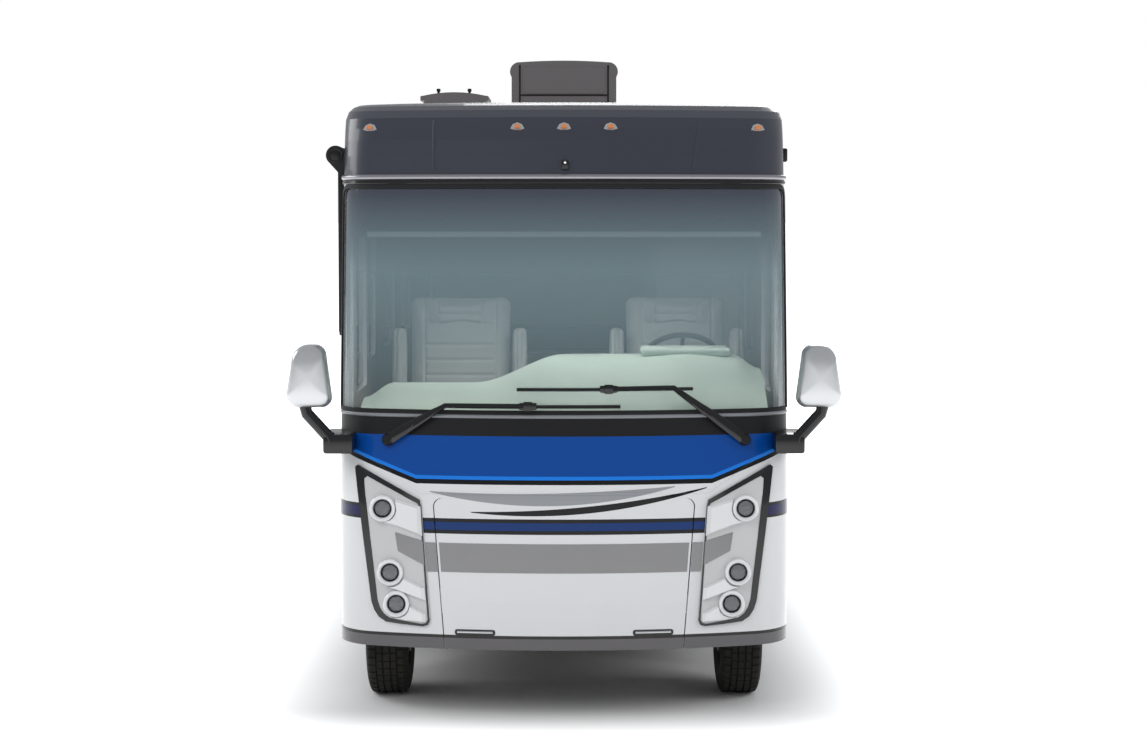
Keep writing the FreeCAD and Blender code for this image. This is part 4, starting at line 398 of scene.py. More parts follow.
MATERIALS = {
    "nose": front_paint(),
    "side": side_paint(),
    "slide": slide_paint(),
    "tail": tail_paint(),
    "brow": finish("brow paint", NAVY, 0.30, coat=0.3, blotch=0.03, specular=0.35),
    "cooler": finish("air conditioner shell", (0.105, 0.097, 0.100, 1.0), 0.32, coat=0.3, blotch=0.05),
    "plain_white": finish("plain white paint", WHITE, 0.24, coat=0.8, blotch=0.015, film=0.10),
    "roof": finish("roof membrane", (0.60, 0.60, 0.58, 1.0), 0.6, grain=120.0, depth=0.0006, blotch=0.05),
    # The lamp pods' darker white is painted shade on the body's own white paint.
    "pod_white_painted_shade": finish("lamp pod paint with painted shade", POD_SHADED_WHITE, 0.34, coat=0.2, blotch=0.02, specular=0.3),
    "trim": finish("black trim", BLACK, 0.42, grain=900.0, depth=0.0002, film=0.15, wear=0.2, specular=0.3),
    "gloss_black": finish("gloss black", BLACK, 0.2, coat=0.25, blotch=0.05, specular=0.3),
    "strip": finish("bright moulding", (0.27, 0.265, 0.29, 1.0), 0.28, metallic=0.7, coat=0.2, blotch=0.03),
    "lip": finish("pale lip", (0.20, 0.21, 0.23, 1.0), 0.36, coat=0.2, blotch=0.05, film=0.2),
    "rubber": finish("seal rubber", (0.009, 0.009, 0.010, 1.0), 0.62, grain=1200.0, depth=0.0002, specular=0.3),
    "tyre": finish("tyre rubber", (0.009, 0.009, 0.009, 1.0), 0.80, grain=900.0, depth=0.0004, film=0.08,
                   blotch=0.2, specular=0.2),
    "alloy": finish("polished alloy", (0.74, 0.74, 0.76, 1.0), 0.22, metallic=1.0, grain=200.0, depth=0.0001,
                    film=0.15),
    "chrome": finish("chrome", (0.84, 0.85, 0.87, 1.0), 0.09, metallic=1.0, blotch=0.02),
    "satin_chrome": finish("satin shell", (0.52, 0.53, 0.54, 1.0), 0.30, metallic=0.75, coat=0.3, blotch=0.03),
    "mirror": finish("mirror glass", (0.82, 0.85, 0.88, 1.0), 0.03, metallic=1.0, blotch=0.01),
    "brushed": finish("brushed band", (0.18, 0.18, 0.182, 1.0), 0.36, metallic=1.0, depth=0.0004, brushed=True),
    "steel": finish("chassis paint", (0.022, 0.022, 0.025, 1.0), 0.5, grain=160.0, depth=0.0006, film=0.7,
                    wear=0.4),
    "casting": finish("cast iron", (0.10, 0.10, 0.105, 1.0), 0.6, grain=260.0, depth=0.0012, metallic=0.6,
                      film=0.4),
    "zinc": finish("exhaust steel", (0.36, 0.34, 0.31, 1.0), 0.45, metallic=1.0, depth=0.0003, film=0.5,
                   blotch=0.2),
    "tank": finish("tank plastic", (0.025, 0.025, 0.027, 1.0), 0.6, grain=500.0, depth=0.0005, film=0.5),
    "board": finish("floor board", (0.20, 0.15, 0.10, 1.0), 0.6, grain=60.0, depth=0.0004, blotch=0.25),
    "lining": finish("moulded lining", (0.09, 0.09, 0.095, 1.0), 0.6, grain=500.0, depth=0.0004, film=0.2),
    "reflector": finish("lamp reflector", (0.085, 0.085, 0.09, 1.0), 0.22, metallic=1.0, grain=300.0,
                        depth=0.0006),
    "bulb": finish("amber lens", (0.62, 0.20, 0.05, 1.0), 0.16, grain=260.0, depth=0.0006, coat=1.0),
    "amber": finish("marker lens", (0.85, 0.22, 0.02, 1.0), 0.10, grain=260.0, depth=0.0008, coat=1.0),
    "red": finish("red lens", (0.50, 0.01, 0.012, 1.0), 0.10, grain=260.0, depth=0.0008, coat=1.0),
    "dash": finish("dash moulding", (0.54, 0.64, 0.54, 1.0), 0.5, grain=700.0, depth=0.0004, sheen=0.1),
    "dash_dark": finish("dark dash moulding", (0.035, 0.036, 0.036, 1.0), 0.45, grain=700.0, depth=0.0004),
    "dial": finish("instrument faces", (0.012, 0.014, 0.016, 1.0), 0.25, grain=900.0, depth=0.0001, coat=0.6),
    "cabinet": finish("cabinet board", (0.055, 0.085, 0.12, 1.0), 0.4, grain=80.0, depth=0.0003, blotch=0.2),
    "edging": finish("cabinet edging", (0.62, 0.70, 0.72, 1.0), 0.35, grain=500.0, depth=0.0002, coat=0.3),
    "leather": finish("seat leather", (0.46, 0.47, 0.45, 1.0), 0.46, grain=700.0, depth=0.0006, sheen=0.2,
                      blotch=0.10, wear=0.15),
    "leather_dark": finish("seat base moulding", (0.06, 0.06, 0.062, 1.0), 0.5, grain=600.0, depth=0.0004),
    "grip": finish("grip leather", (0.03, 0.03, 0.03, 1.0), 0.5, grain=800.0, depth=0.0005),
    # Windshield: a dark shade band at the top, and a pale teal at the foot that is partly tint and partly a
    # painted reflection.
    "shield": glass_finish("windshield glass", (0.032, 0.042, 0.066, 1.0), (0.19, 0.28, 0.31, 1.0),
                           (1.75, 2.95), (0.12, 0.88), turns=(2.55, 2.98)),
    "tinted": glass_finish("tinted glass", (0.010, 0.012, 0.014, 1.0), (0.018, 0.021, 0.024, 1.0),
                           (1.8, 2.7), (0.80, 0.88)),
    "clear": glass_finish("clear lens", (0.40, 0.42, 0.43, 1.0), (0.40, 0.42, 0.43, 1.0),
                          (0.0, 3.0), (0.08, 0.08)),
}
# The cabinet edging is made to glow though it is no lamp: painted light standing in for its lit pale edge.
EDGE_PAINTED_GLOW = MATERIALS["edging"].node_tree.nodes["Principled BSDF"]
EDGE_PAINTED_GLOW.inputs["Emission Color"].default_value = (0.75, 0.92, 1.0, 1.0)
EDGE_PAINTED_GLOW.inputs["Emission Strength"].default_value = 0.9
NODE_FINISHES = {
    "nose": ["nose_cap", "front_hatch"],
    "side": ["left_wall", "right_wall", "left_basement", "right_basement", "left_bay_door_1", "left_bay_door_2",
             "right_bay_door_1", "right_bay_door_2", "entry_door"],
    "slide": ["slide_room"],
    "tail": ["rear_cap", "rear_bumper"],
    "brow": ["brow_cap"],
    "cooler": ["roof_units"],
    "pod_white_painted_shade": ["lamp_pods"],
    "roof": ["roof"],
    "trim": ["cowl", "awning", "slide_topper"],
    "tank": ["fuel_tank"],
    "gloss_black": ["wipers"],
    "tyre": ["left_front_tyre", "right_front_tyre", "left_rear_tyres", "right_rear_tyres"],
    "alloy": ["left_front_rim", "right_front_rim", "left_rear_rims", "right_rear_rims", "ladder"],
    "satin_chrome": ["mirrors", "headlamps"],
    "steel": ["frame_rails", "floor_joists", "front_axle", "rear_axle", "driveline", "left_knuckle",
              "right_knuckle", "tie_rod"],
    "casting": ["engine"],
    "zinc": ["exhaust"],
    "board": ["floor"],
    "lining": ["entry_steps", "left_bays", "right_bays"],
    "amber": ["clearance_lamps"],
    "red": ["tail_lamps"],
    "dash": ["dashboard"],
    "cabinet": ["overhead_cabinet"],
    "leather": ["front_seats"],
    "grip": ["steering_wheel"],
    "shield": ["windshield"],
    "tinted": ["side_glass", "entry_door_glass", "slide_glass"],
}


def dress_nodes():
    """Gives every solid its finish."""
    for label, names in NODE_FINISHES.items():
        for name in names:
            slots = NODES[name].material_slots
            for slot in slots:
                slot.link = "OBJECT"
                slot.material = MATERIALS[label]


# The front moulding's outside, from the same sizes as its solid

SIDES = (("left", 1), ("right", -1))

FRONT_PROFILE = [
    (0.430, 0.030), (0.700, 0.006), (1.050, 0.0), (1.290, 0.010), (1.628, 0.066), (1.757, 0.098),
    (2.400, 0.208), (3.044, 0.322), (3.120, 0.338), (3.200, 0.357), (3.290, 0.384), (3.360, 0.415),
    (3.420, 0.460),
]
FRONT_BOW, FRONT_CORNER = 3.65, 0.30
HALF_WIDE = 1.285
FRONT_Y = -4.875
TINY = 0.002
BOW_TURN = math.asin((HALF_WIDE - FRONT_CORNER) / (FRONT_BOW - FRONT_CORNER))
BOW_LONG = FRONT_BOW * BOW_TURN
CORNER_LONG = FRONT_CORNER * (math.pi / 2 - BOW_TURN)


def reach_at(profile, z):
    """How deep a (height, depth) profile is at a height, and its slope there."""
    z = min(max(z, profile[0][0]), profile[-1][0])
    for (low, low_deep), (high, high_deep) in zip(profile, profile[1:]):
        if low <= z <= high:
            slope = (high_deep - low_deep) / (high - low)
            return low_deep + slope * (z - low), slope


def front_depth(x, z):
    """How far the front's outside lies behind its foremost plane."""
    reach = reach_at(FRONT_PROFILE, z)[0]
    corner_x = HALF_WIDE - FRONT_CORNER
    corner_y = reach + FRONT_BOW - math.sqrt((FRONT_BOW - FRONT_CORNER) ** 2 - corner_x ** 2)
    meet = corner_x * FRONT_BOW / (FRONT_BOW - FRONT_CORNER)
    if abs(x) <= meet:
        return reach + FRONT_BOW - math.sqrt(FRONT_BOW ** 2 - x ** 2)
    return corner_y - math.sqrt(max(0.0, FRONT_CORNER ** 2 - (abs(x) - corner_x) ** 2))


def skin_pair(across, z):
    """A point of the front's outside and its outward way, by the distance along its bend from the middle."""
    reach, slope = reach_at(FRONT_PROFILE, z)
    side = -1 if across < 0 else 1
    far = abs(across)
    corner_y = reach + FRONT_BOW - (FRONT_BOW - FRONT_CORNER) * math.cos(BOW_TURN)
    if far <= BOW_LONG:
        turn = far / FRONT_BOW
        x, deep = FRONT_BOW * math.sin(turn), reach + FRONT_BOW * (1 - math.cos(turn))
    elif far <= BOW_LONG + CORNER_LONG:
        turn = BOW_TURN + (far - BOW_LONG) / FRONT_CORNER
        x = HALF_WIDE - FRONT_CORNER + FRONT_CORNER * math.sin(turn)
        deep = corner_y - FRONT_CORNER * math.cos(turn)
    else:
        turn = math.pi / 2
        x, deep = HALF_WIDE, corner_y + far - BOW_LONG - CORNER_LONG
    outward = Vector((side * math.sin(turn), -math.cos(turn), math.cos(turn) * slope)).normalized()
    return Vector((side * x, FRONT_Y + deep, z)), outward


def front_normal(x, z):
    """Which way the front's outside faces."""
    across = (front_depth(x + TINY, z) - front_depth(x - TINY, z)) / (2 * TINY)
    up = (front_depth(x, z + TINY) - front_depth(x, z - TINY)) / (2 * TINY)
    return Vector((across, -1.0, up)).normalized()


def on_front(x, z, lift=0.0):
    """A point of the front's outside, lifted off it."""
    return Vector((x, FRONT_Y + front_depth(x, z), z)) + front_normal(x, z) * lift


def on_left(y, z, lift=0.0):
    """A point of the driver's side wall, lifted off it."""
    return Vector((HALF_WIDE + lift, y, z))


def on_right(y, z, lift=0.0):
    """A point of the kerb side wall, lifted off it."""
    return Vector((-HALF_WIDE - lift, y, z))


# Making pieces

def add_object(name, data):
    """A new object in the scene."""
    thing = bpy.data.objects.new(name, data)
    bpy.context.collection.objects.link(thing)
    return thing


def eased_box(low, high, bevel, steps):
    """A box with rounded edges between two corners, as a shape to read or mesh."""
    shape = bmesh.new()
    bmesh.ops.create_cube(shape, size=1.0)
    middle, span = (Vector(low) + Vector(high)) / 2, Vector(high) - Vector(low)
    for vertex in shape.verts:
        vertex.co = Vector(a * b for a, b in zip(vertex.co, span)) + middle
    bmesh.ops.bevel(shape, geom=shape.edges[:], offset=bevel, segments=steps, affect="EDGES", profile=0.5)
    return shape


def make_piece(name, points, faces, finish_name, body, smooth_angle=40.0):
    """A mesh piece that rides on a body, with its faces turned outwards."""
    mesh = bpy.data.meshes.new(name)
    mesh.from_pydata([tuple(point) for point in points], [], faces)
    shape = bmesh.new()
    shape.from_mesh(mesh)
    bmesh.ops.remove_doubles(shape, verts=shape.verts, dist=1e-6)
    bmesh.ops.recalc_face_normals(shape, faces=shape.faces)
    shape.to_mesh(mesh)
    shape.free()
    mesh.materials.append(MATERIALS[finish_name])
    for polygon in mesh.polygons:
        polygon.use_smooth = True
    mesh.set_sharp_from_angle(angle=math.radians(smooth_angle))
    thing = add_object(name, mesh)
    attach(thing, body)
    return thing


class Build:
    """Collects the points and faces of several shapes for one piece."""

    def __init__(self):
        self.points = []
        self.faces = []

    def add(self, points, faces):
        """Adds one shape's points and faces."""
        start = len(self.points)
        self.points += [Vector(point) for point in points]
        self.faces += [[start + index for index in face] for face in faces]

    def sweep(self, path, section, closed=False):
        """A bar whose section, in (across, out) pairs, follows (point, outward) pairs."""
        rings = []
        count = len(path)
        for index, (point, outward) in enumerate(path):
            ahead = path[(index + 1) % count][0] if closed or index < count - 1 else point
            behind = path[index - 1][0] if closed or index > 0 else point
            along = (ahead - behind).normalized()
            across = along.cross(outward).normalized()
            rings.append([point + across * u + outward * v for u, v in section])
        self.rings(rings, closed)

    def rings(self, rings, closed=False, capped=True):
        """Faces between rings of equally many points."""
        size = len(rings[0])
        points = [point for ring in rings for point in ring]
        faces = []
        spans = len(rings) if closed else len(rings) - 1
        for row in range(spans):
            here, there = row * size, (row + 1) % len(rings) * size
            for side in range(size):
                following = (side + 1) % size
                faces.append([here + side, here + following, there + following, there + side])
        if capped and not closed:
            faces.append(list(range(size))[::-1])
            faces.append([len(points) - size + index for index in range(size)])
        self.add(points, faces)

    def lathe(self, centre, axis, profile, segments=48, closed=False):
        """A round shape from (radius, along) pairs about an axis."""
        axis = Vector(axis).normalized()
        side = axis.orthogonal().normalized()
        other = axis.cross(side)
        rings = []
        for radius, along in profile:
            ring = []
            for step in range(segments):
                turn = math.tau * step / segments
                ring.append(Vector(centre) + axis * along + (side * math.cos(turn) + other * math.sin(turn))
                            * radius)
            rings.append(ring)
        self.rings(rings, closed)

    def plate(self, outline, place, lift, depth=0.004, cell=0.06):
        """A thin plate over an outline in two values, laid on a surface."""
        shape = bmesh.new()
        shape.faces.new([shape.verts.new((u, v, 0.0)) for u, v in outline])
        for axis in (0, 1):
            values = [point[axis] for point in outline]
            steps = int((max(values) - min(values)) / cell)
            for step in range(1, steps + 1):
                where, way = Vector(), Vector()
                where[axis] = min(values) + step * cell
                way[axis] = 1.0
                everything = shape.verts[:] + shape.edges[:] + shape.faces[:]
                bmesh.ops.bisect_plane(shape, geom=everything, plane_co=where, plane_no=way, dist=1e-6)
        shape.verts.index_update()
        flat = [vertex.co.copy() for vertex in shape.verts]
        faces = [[vertex.index for vertex in face.verts] for face in shape.faces]
        rims = [(loop.vert.index, loop.link_loop_next.vert.index)
                for face in shape.faces for loop in face.loops if loop.edge.is_boundary]
        shape.free()
        count = len(flat)
        points = [place(point.x, point.y, lift) for point in flat]
        points += [place(point.x, point.y, -depth) for point in flat]
        walls = [[second, first, first + count, second + count] for first, second in rims]
        self.add(points, faces + [[index + count for index in reversed(face)] for face in faces] + walls)

    def block(self, low, high, bevel=0.004, steps=2):
        """A box with rounded edges between two corners."""
        shape = eased_box(low, high, bevel, steps)
        shape.verts.index_update()
        self.add([vertex.co for vertex in shape.verts],
                 [[vertex.index for vertex in face.verts] for face in shape.faces])
        shape.free()

    def piece(self, name, finish_name, body, smooth_angle=40.0):
        """The finished piece."""
        return make_piece(name, self.points, self.faces, finish_name, body, smooth_angle)


def rounded(low, high, corner, steps=6):
    """A rounded rectangle between two (u, v) corners."""
    (u0, v0), (u1, v1) = low, high
    points = []
    for u, v, start in ((u1 - corner, v0 + corner, -90), (u1 - corner, v1 - corner, 0),
                        (u0 + corner, v1 - corner, 90), (u0 + corner, v0 + corner, 180)):
        for step in range(steps + 1):
            turn = math.radians(start + 90 * step / steps)
            points.append((u + corner * math.cos(turn), v + corner * math.sin(turn)))
    return points


def spaced(outline, gap, closed=True):
    """The outline with more points, no further apart than a gap."""
    ends = outline[1:] + outline[:1] if closed else outline[1:]
    points = []
    for (u, v), (p, q) in zip(outline, ends):
        steps = max(1, math.ceil(math.hypot(p - u, q - v) / gap))
        points += [(u + (p - u) * step / steps, v + (q - v) * step / steps) for step in range(steps)]
    if not closed:
        points.append(outline[-1])
    return points


def front_path(outline, closed=True, gap=0.04):
    """An outline on the front as (point, outward) pairs."""
    return [(on_front(u, v), front_normal(u, v)) for u, v in spaced(outline, gap, closed)]


def skin_path(outline, closed=True, gap=0.04):
    """An outline by distance along the front's bend and height, as (point, outward) pairs."""
    return [skin_pair(u, v) for u, v in spaced(outline, gap, closed)]


def side_path(outline, sign, x=HALF_WIDE):
    """An outline in y and z on a side wall as (point, outward) pairs."""
    return [(Vector((sign * x, y, z)), Vector((sign, 0, 0))) for y, z in spaced(outline, 0.08)]


def round_section(radius, steps=10):
    """A round bar's section."""
    return [(radius * math.cos(math.tau * step / steps), radius * math.sin(math.tau * step / steps))
            for step in range(steps)]


def half_round(wide, proud, sunk=0.004, steps=8):
    """A moulding's section with a rounded face."""
    points = [(-wide / 2, -sunk), (wide / 2, -sunk)]
    for step in range(steps + 1):
        turn = math.pi * step / steps
        points.append((wide / 2 * math.cos(turn), proud * math.sin(turn)))
    return points


def flat_section(wide, proud, sunk=0.004):
    """A flat strip's section with its outer edges eased."""
    ease = min(wide, proud) * 0.35
    return [(-wide / 2, -sunk), (wide / 2, -sunk), (wide / 2, proud - ease), (wide / 2 - ease, proud),
            (-wide / 2 + ease, proud), (-wide / 2, proud - ease)]


# Front pieces

SHIELD_FOOT, SHIELD_SIDE, SHIELD_BEND = (1.408, 1.757), (1.427, 2.936), (1.314, 3.026)
POD_PROUD = 0.010
LAMPS, COLLAR_RADIUS = [(1.019, 1.219), (0.977, 0.860), (0.942, 0.683)], 0.075


def shield_outline():
    """The windshield's edge, by distance along the front's bend and height."""
    right = [SHIELD_FOOT, SHIELD_SIDE]
    for step in range(1, 9):
        turn = math.pi / 2 * step / 8
        right.append((SHIELD_BEND[0] + (SHIELD_SIDE[0] - SHIELD_BEND[0]) * math.cos(turn),
                      SHIELD_SIDE[1] + (SHIELD_BEND[1] - SHIELD_SIDE[1]) * math.sin(turn)))
    return right + [(-across, z) for across, z in reversed(right)]


def shield_surround():
    """The black rubber round the windshield, the mouldings above it and the pale lip at its foot."""
    seal = Build()
    seal.sweep(skin_path(shield_outline()), flat_section(0.026, 0.007))
    seal.piece("windshield_seal", "rubber", "coach")
    bright, dark, lip = Build(), Build(), Build()
    bright.sweep(skin_path([(-1.62, 3.078), (1.62, 3.078)], closed=False), half_round(0.032, 0.016))
    dark.sweep(skin_path([(-1.62, 3.050), (1.62, 3.050)], closed=False), flat_section(0.022, 0.009))
    lip.sweep(skin_path([(-1.395, 1.736), (1.395, 1.736)], closed=False), half_round(0.022, 0.009))
    bright.piece("brow_moulding", "strip", "coach")
    dark.piece("brow_strip", "gloss_black", "coach")
    lip.piece("windshield_lip", "lip", "coach")


BAND_LIFT, HATCH_BAND_LIFT = 0.004, 0.0015


def silver_band():
    """The brushed band across the nose, in one plate on each panel it crosses."""
    low, high = 0.869, 1.033
    hatch = Build()
    hatch.plate([(-0.688, low), (0.688, low), (0.700, high), (-0.700, high)], on_front, HATCH_BAND_LIFT)
    hatch.piece("hatch_band", "brushed", "front_hatch")
    for name, side in SIDES:
        inner, end = Build(), Build()
        corners = [(0.708, low), (0.765, low), (0.777, high), (0.720, high)]
        inner.plate([(side * x, z) for x, z in corners][::side], on_front, BAND_LIFT)
        inner.piece(f"{name}_nose_band", "brushed", "coach")
        corners = [(0.774, 0.903), (0.929, 0.981), (0.945, 1.084), (0.785, 1.040)]
        end.plate([(side * x, z) for x, z in corners][::side], on_front, POD_PROUD + BAND_LIFT)
        end.piece(f"{name}_pod_band", "brushed", "coach")


def pod_ring(outline, side, lift):
    """An outline on a pod, with each edge in the same number of steps."""
    points = []
    for (u, v), (p, q) in zip(outline, outline[1:] + outline[:1]):
        points += [on_front(side * (u + (p - u) * step / 8), v + (q - v) * step / 8, lift) for step in range(8)]
    return points


POD_RIM = [(1.158, 1.452), (1.173, 1.440), (1.170, 1.412), (1.082, 0.690), (1.066, 0.640), (1.040, 0.602),
           (1.000, 0.576), (0.900, 0.566), (0.790, 0.558), (0.762, 0.566), (0.752, 0.590), (0.770, 0.850),
           (0.797, 1.236), (0.806, 1.270)]
POD_FACE = [(1.104, 1.392), (1.122, 1.378), (1.121, 1.350), (1.048, 0.700), (1.034, 0.654), (1.012, 0.620),
            (0.980, 0.598), (0.900, 0.584), (0.798, 0.570), (0.774, 0.576), (0.763, 0.596), (0.780, 0.850),
            (0.807, 1.230), (0.818, 1.250)]
WINGS = [
    [(1.012, 1.136), (0.930, 1.116), (0.790, 1.068), (0.800, 1.234), (0.850, 1.248), (0.942, 1.272),
     (0.938, 1.245), (0.934, 1.215), (0.942, 1.183), (0.958, 1.160), (0.983, 1.143)],
    [(0.990, 0.776), (0.912, 0.752), (0.772, 0.706), (0.778, 0.778), (0.898, 0.830), (0.910, 0.810),
     (0.926, 0.794), (0.952, 0.781)],
    [(0.968, 0.600), (0.890, 0.590), (0.772, 0.584), (0.774, 0.634), (0.860, 0.676), (0.866, 0.648),
     (0.888, 0.622), (0.920, 0.605)],
]
POD_SUNK, WING_PROUD, WING_DRAW_IN = 0.004, 0.022, 0.16


def pod_edges():
    """The black band round each lamp pod, and the raised wings that run in from its lamps."""
    for name, side in SIDES:
        band, wings = Build(), Build()
        edges = [pod_ring(outline, side, lift) for outline, lift in (
            (POD_RIM, -POD_SUNK), (POD_RIM, POD_PROUD + 0.005), (POD_FACE, POD_PROUD + 0.003),
            (POD_FACE, -POD_SUNK))]
        band.rings([list(points) for points in zip(*edges)], closed=True)
        band.piece(f"{name}_pod_edge", "gloss_black", "coach")
        for outline in WINGS:
            middle = [sum(point[axis] for point in outline) / len(outline) for axis in (0, 1)]
            inner = [(u + (middle[0] - u) * WING_DRAW_IN, v + (middle[1] - v) * WING_DRAW_IN)
                     for u, v in outline]
            wings.rings([pod_ring(outline, side, -POD_SUNK), pod_ring(outline, side, POD_PROUD + 0.004),
                         pod_ring(inner, side, POD_PROUD + WING_PROUD)])
        wings.piece(f"{name}_pod_wings", "plain_white", "coach", 30.0)


def lamp_units():
    """The six round lamps: white collars, dark rings, reflectors with their bulb shades, and clear lenses."""
    collars, rings, reflectors, lenses, shades = Build(), Build(), Build(), Build(), Build()
    for side in (-1, 1):
        for x, z in LAMPS:
            face = FRONT_Y + front_depth(x - COLLAR_RADIUS, z) - POD_PROUD - WING_PROUD
            centre, axis = (side * x, face, z), (0, -1, 0)
            collars.lathe(centre, axis, [(0.0748, -0.11), (0.0748, -0.010), (0.0735, -0.004), (0.070, 0.0),
                                         (0.060, 0.0), (0.0545, -0.004), (0.0505, -0.014), (0.0505, -0.11)],
                          closed=True)
            rings.lathe(centre, axis, [(0.0505, -0.016), (0.0500, -0.010), (0.0470, -0.007), (0.0435, -0.010),
                                       (0.0420, -0.018), (0.0420, -0.050), (0.0505, -0.050)], closed=True)
            reflectors.lathe(centre, axis, [(0.042, -0.018), (0.040, -0.026), (0.036, -0.027), (0.034, -0.034),
                                            (0.026, -0.036), (0.023, -0.042), (0.0, -0.043), (0.0, -0.050),
                                            (0.042, -0.050)], 16)
            shades.lathe(centre, axis, [(0.013, -0.043), (0.013, -0.026), (0.009, -0.021), (0.0, -0.020),
                                        (0.0, -0.043)])
            lenses.lathe(centre, axis, [(0.0, -0.008), (0.02, -0.009), (0.034, -0.011), (0.042, -0.015),
                                        (0.042, -0.018), (0.034, -0.014), (0.02, -0.012), (0.0, -0.011)])
    collar = collars.piece("lamp_collars", "plain_white", "coach")
    rings.piece("lamp_rings", "gloss_black", "coach")
    reflectors.piece("lamp_reflectors", "reflector", "coach", 20.0)
    shades.piece("lamp_shades", "satin_chrome", "coach")
    lenses.piece("lamp_lenses", "clear", "coach")
    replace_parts(collar, "headlamps")


def brow_lamps():
    """The clearance lamps in their teardrop housings, and the small camera above the windshield."""
    housings, lenses = Build(), Build()
    for x in (-1.115, -0.265, 0.0, 0.265, 1.115):
        base = [(x - 0.040, 3.350), (x - 0.018, 3.343), (x + 0.018, 3.343), (x + 0.040, 3.350),
                (x + 0.026, 3.374), (x, 3.384), (x - 0.026, 3.374)]
        housings.plate(base, on_front, 0.008)
        inner = [(x - 0.017, 3.350), (x + 0.017, 3.350), (x + 0.012, 3.367), (x - 0.012, 3.367)]
        lenses.plate(inner, on_front, 0.020, cell=0.02)
    housings.piece("clearance_housings", "satin_chrome", "coach")
    lens = lenses.piece("clearance_lenses", "bulb", "coach")
    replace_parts(lens, "clearance_lamps")
    camera, eye = Build(), Build()
    spot = on_front(0.006, 3.147)
    camera.block(spot + Vector((-0.019, -0.034, -0.026)), spot + Vector((0.019, 0.02, 0.026)), 0.006)
    camera.piece("front_camera", "gloss_black", "coach")
    eye.lathe(spot + Vector((0.0, -0.034, 0.012)), (0, -1, 0), [(0.007, -0.004), (0.007, 0.002), (0.005, 0.004),
                                                                (0.0, 0.0045), (0.0, -0.004)], 24)
    eye.piece("front_camera_eye", "chrome", "coach")
    steps = Build()
    for corners in ([(-0.742, 3.12), (-0.742, 3.405)], [(0.735, 3.12), (0.775, 3.405)]):
        steps.sweep(front_path(corners, closed=False), half_round(0.018, 0.004))
    steps.piece("brow_creases", "brow", "coach")


def hatch_details():
    """The two slot handles of the front hatch, and the crease above it."""
    slots, pulls, crease = Build(), Build(), Build()
    for side in (-1, 1):
        low, high = (0.385, 0.512), (0.612, 0.545)
        if side < 0:
            low, high = (-0.612, 0.512), (-0.385, 0.545)
        slots.plate(rounded(low, high, 0.012, 4), on_front, 0.002, cell=0.05)
        path = front_path([(low[0] + 0.014, 0.530), (high[0] - 0.014, 0.530)], closed=False)
        pulls.sweep(path, half_round(0.014, 0.009))
    slots.piece("hatch_slots", "trim", "front_hatch")
    pulls.piece("hatch_pulls", "satin_chrome", "front_hatch")
    line = [(-1.075, 1.487), (-0.805, 1.312), (0.805, 1.312), (1.075, 1.487)]
    crease.sweep(front_path(line, closed=False), half_round(0.014, 0.004))
    crease.piece("nose_crease", "nose", "coach")


def tapered(build, path, widths, thick):
    """A flat bar of changing width along (point, outward) pairs."""
    rings = []
    for index, ((point, outward), wide) in enumerate(zip(path, widths)):
        ahead, behind = path[min(index + 1, len(path) - 1)][0], path[max(index - 1, 0)][0]
        across = (ahead - behind).cross(outward).normalized()
        half = wide / 2
        rings.append([point + across * u + outward * v
                      for u, v in ((-half, 0.0), (half, 0.0), (half, thick * 0.5), (half * 0.6, thick),
                                   (-half * 0.6, thick), (-half, thick * 0.5))])
    build.rings(rings)


def wiper_blades():
    """The two wipers: tapered arms from their pivots, rubber blades with a spine, and their clips."""
    arms, rubbers, clips = Build(), Build(), Build()
    for base, elbow, clip, start, end, high in (
            ((1.012, 1.596), (0.607, 1.889), 0.247, 0.720, -0.263, 1.885),
            ((-0.985, 1.596), (-0.657, 1.790), -0.200, -0.676, 0.313, 1.790)):
        path = [(on_front(x, z, 0.004), front_normal(x, z)) for x, z in
                spaced([(start, high), (end, high)], 0.05, closed=False)]
        rubbers.sweep(path, [(-0.009, 0.0), (0.009, 0.0), (0.010, 0.012), (0.005, 0.022), (-0.005, 0.022),
                             (-0.010, 0.012)])
        spine = [(start + (end - start) * share, high) for share in (0.10, 0.90)]
        rubbers.sweep([(on_front(x, z, 0.024), front_normal(x, z))
                       for x, z in spaced(spine, 0.05, closed=False)],
                      [(-0.006, 0.0), (0.006, 0.0), (0.004, 0.012), (-0.004, 0.012)])
        way = spaced([base, elbow, (clip, high)], 0.04, closed=False)
        first = math.dist(base, elbow)
        widths = []
        for x, z in way:
            share = min(1.0, math.dist(base, (x, z)) / first)
            widths.append(0.062 if share < 0.25 else 0.062 - 0.034 * (share - 0.25) / 0.75)
        widths[-1] = 0.020
        lifts = [0.022 + 0.016 * min(1.0, math.dist(base, point) / first) for point in way]
        tapered(arms, [(on_front(x, z, lift), front_normal(x, z)) for (x, z), lift in zip(way, lifts)], widths,
                0.018)
        middle = on_front(clip, high, 0.036)
        clips.block(middle - Vector((0.050, 0.014, 0.020)), middle + Vector((0.050, 0.014, 0.020)), 0.006)
        clips.block(middle - Vector((0.026, 0.022, 0.026)), middle + Vector((0.026, 0.010, 0.026)), 0.006)
        arms.lathe(on_front(base[0], base[1], -0.002), front_normal(*base),
                   [(0.0, 0.0), (0.034, 0.0), (0.034, 0.034), (0.026, 0.046), (0.0, 0.048)], 32)
    arm = arms.piece("wiper_arms", "gloss_black", "coach")
    rubbers.piece("wiper_rubbers", "rubber", "coach")
    clips.piece("wiper_clips", "gloss_black", "coach")
    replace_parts(arm, "wipers")


MIRROR_FACE = FRONT_Y + 0.20


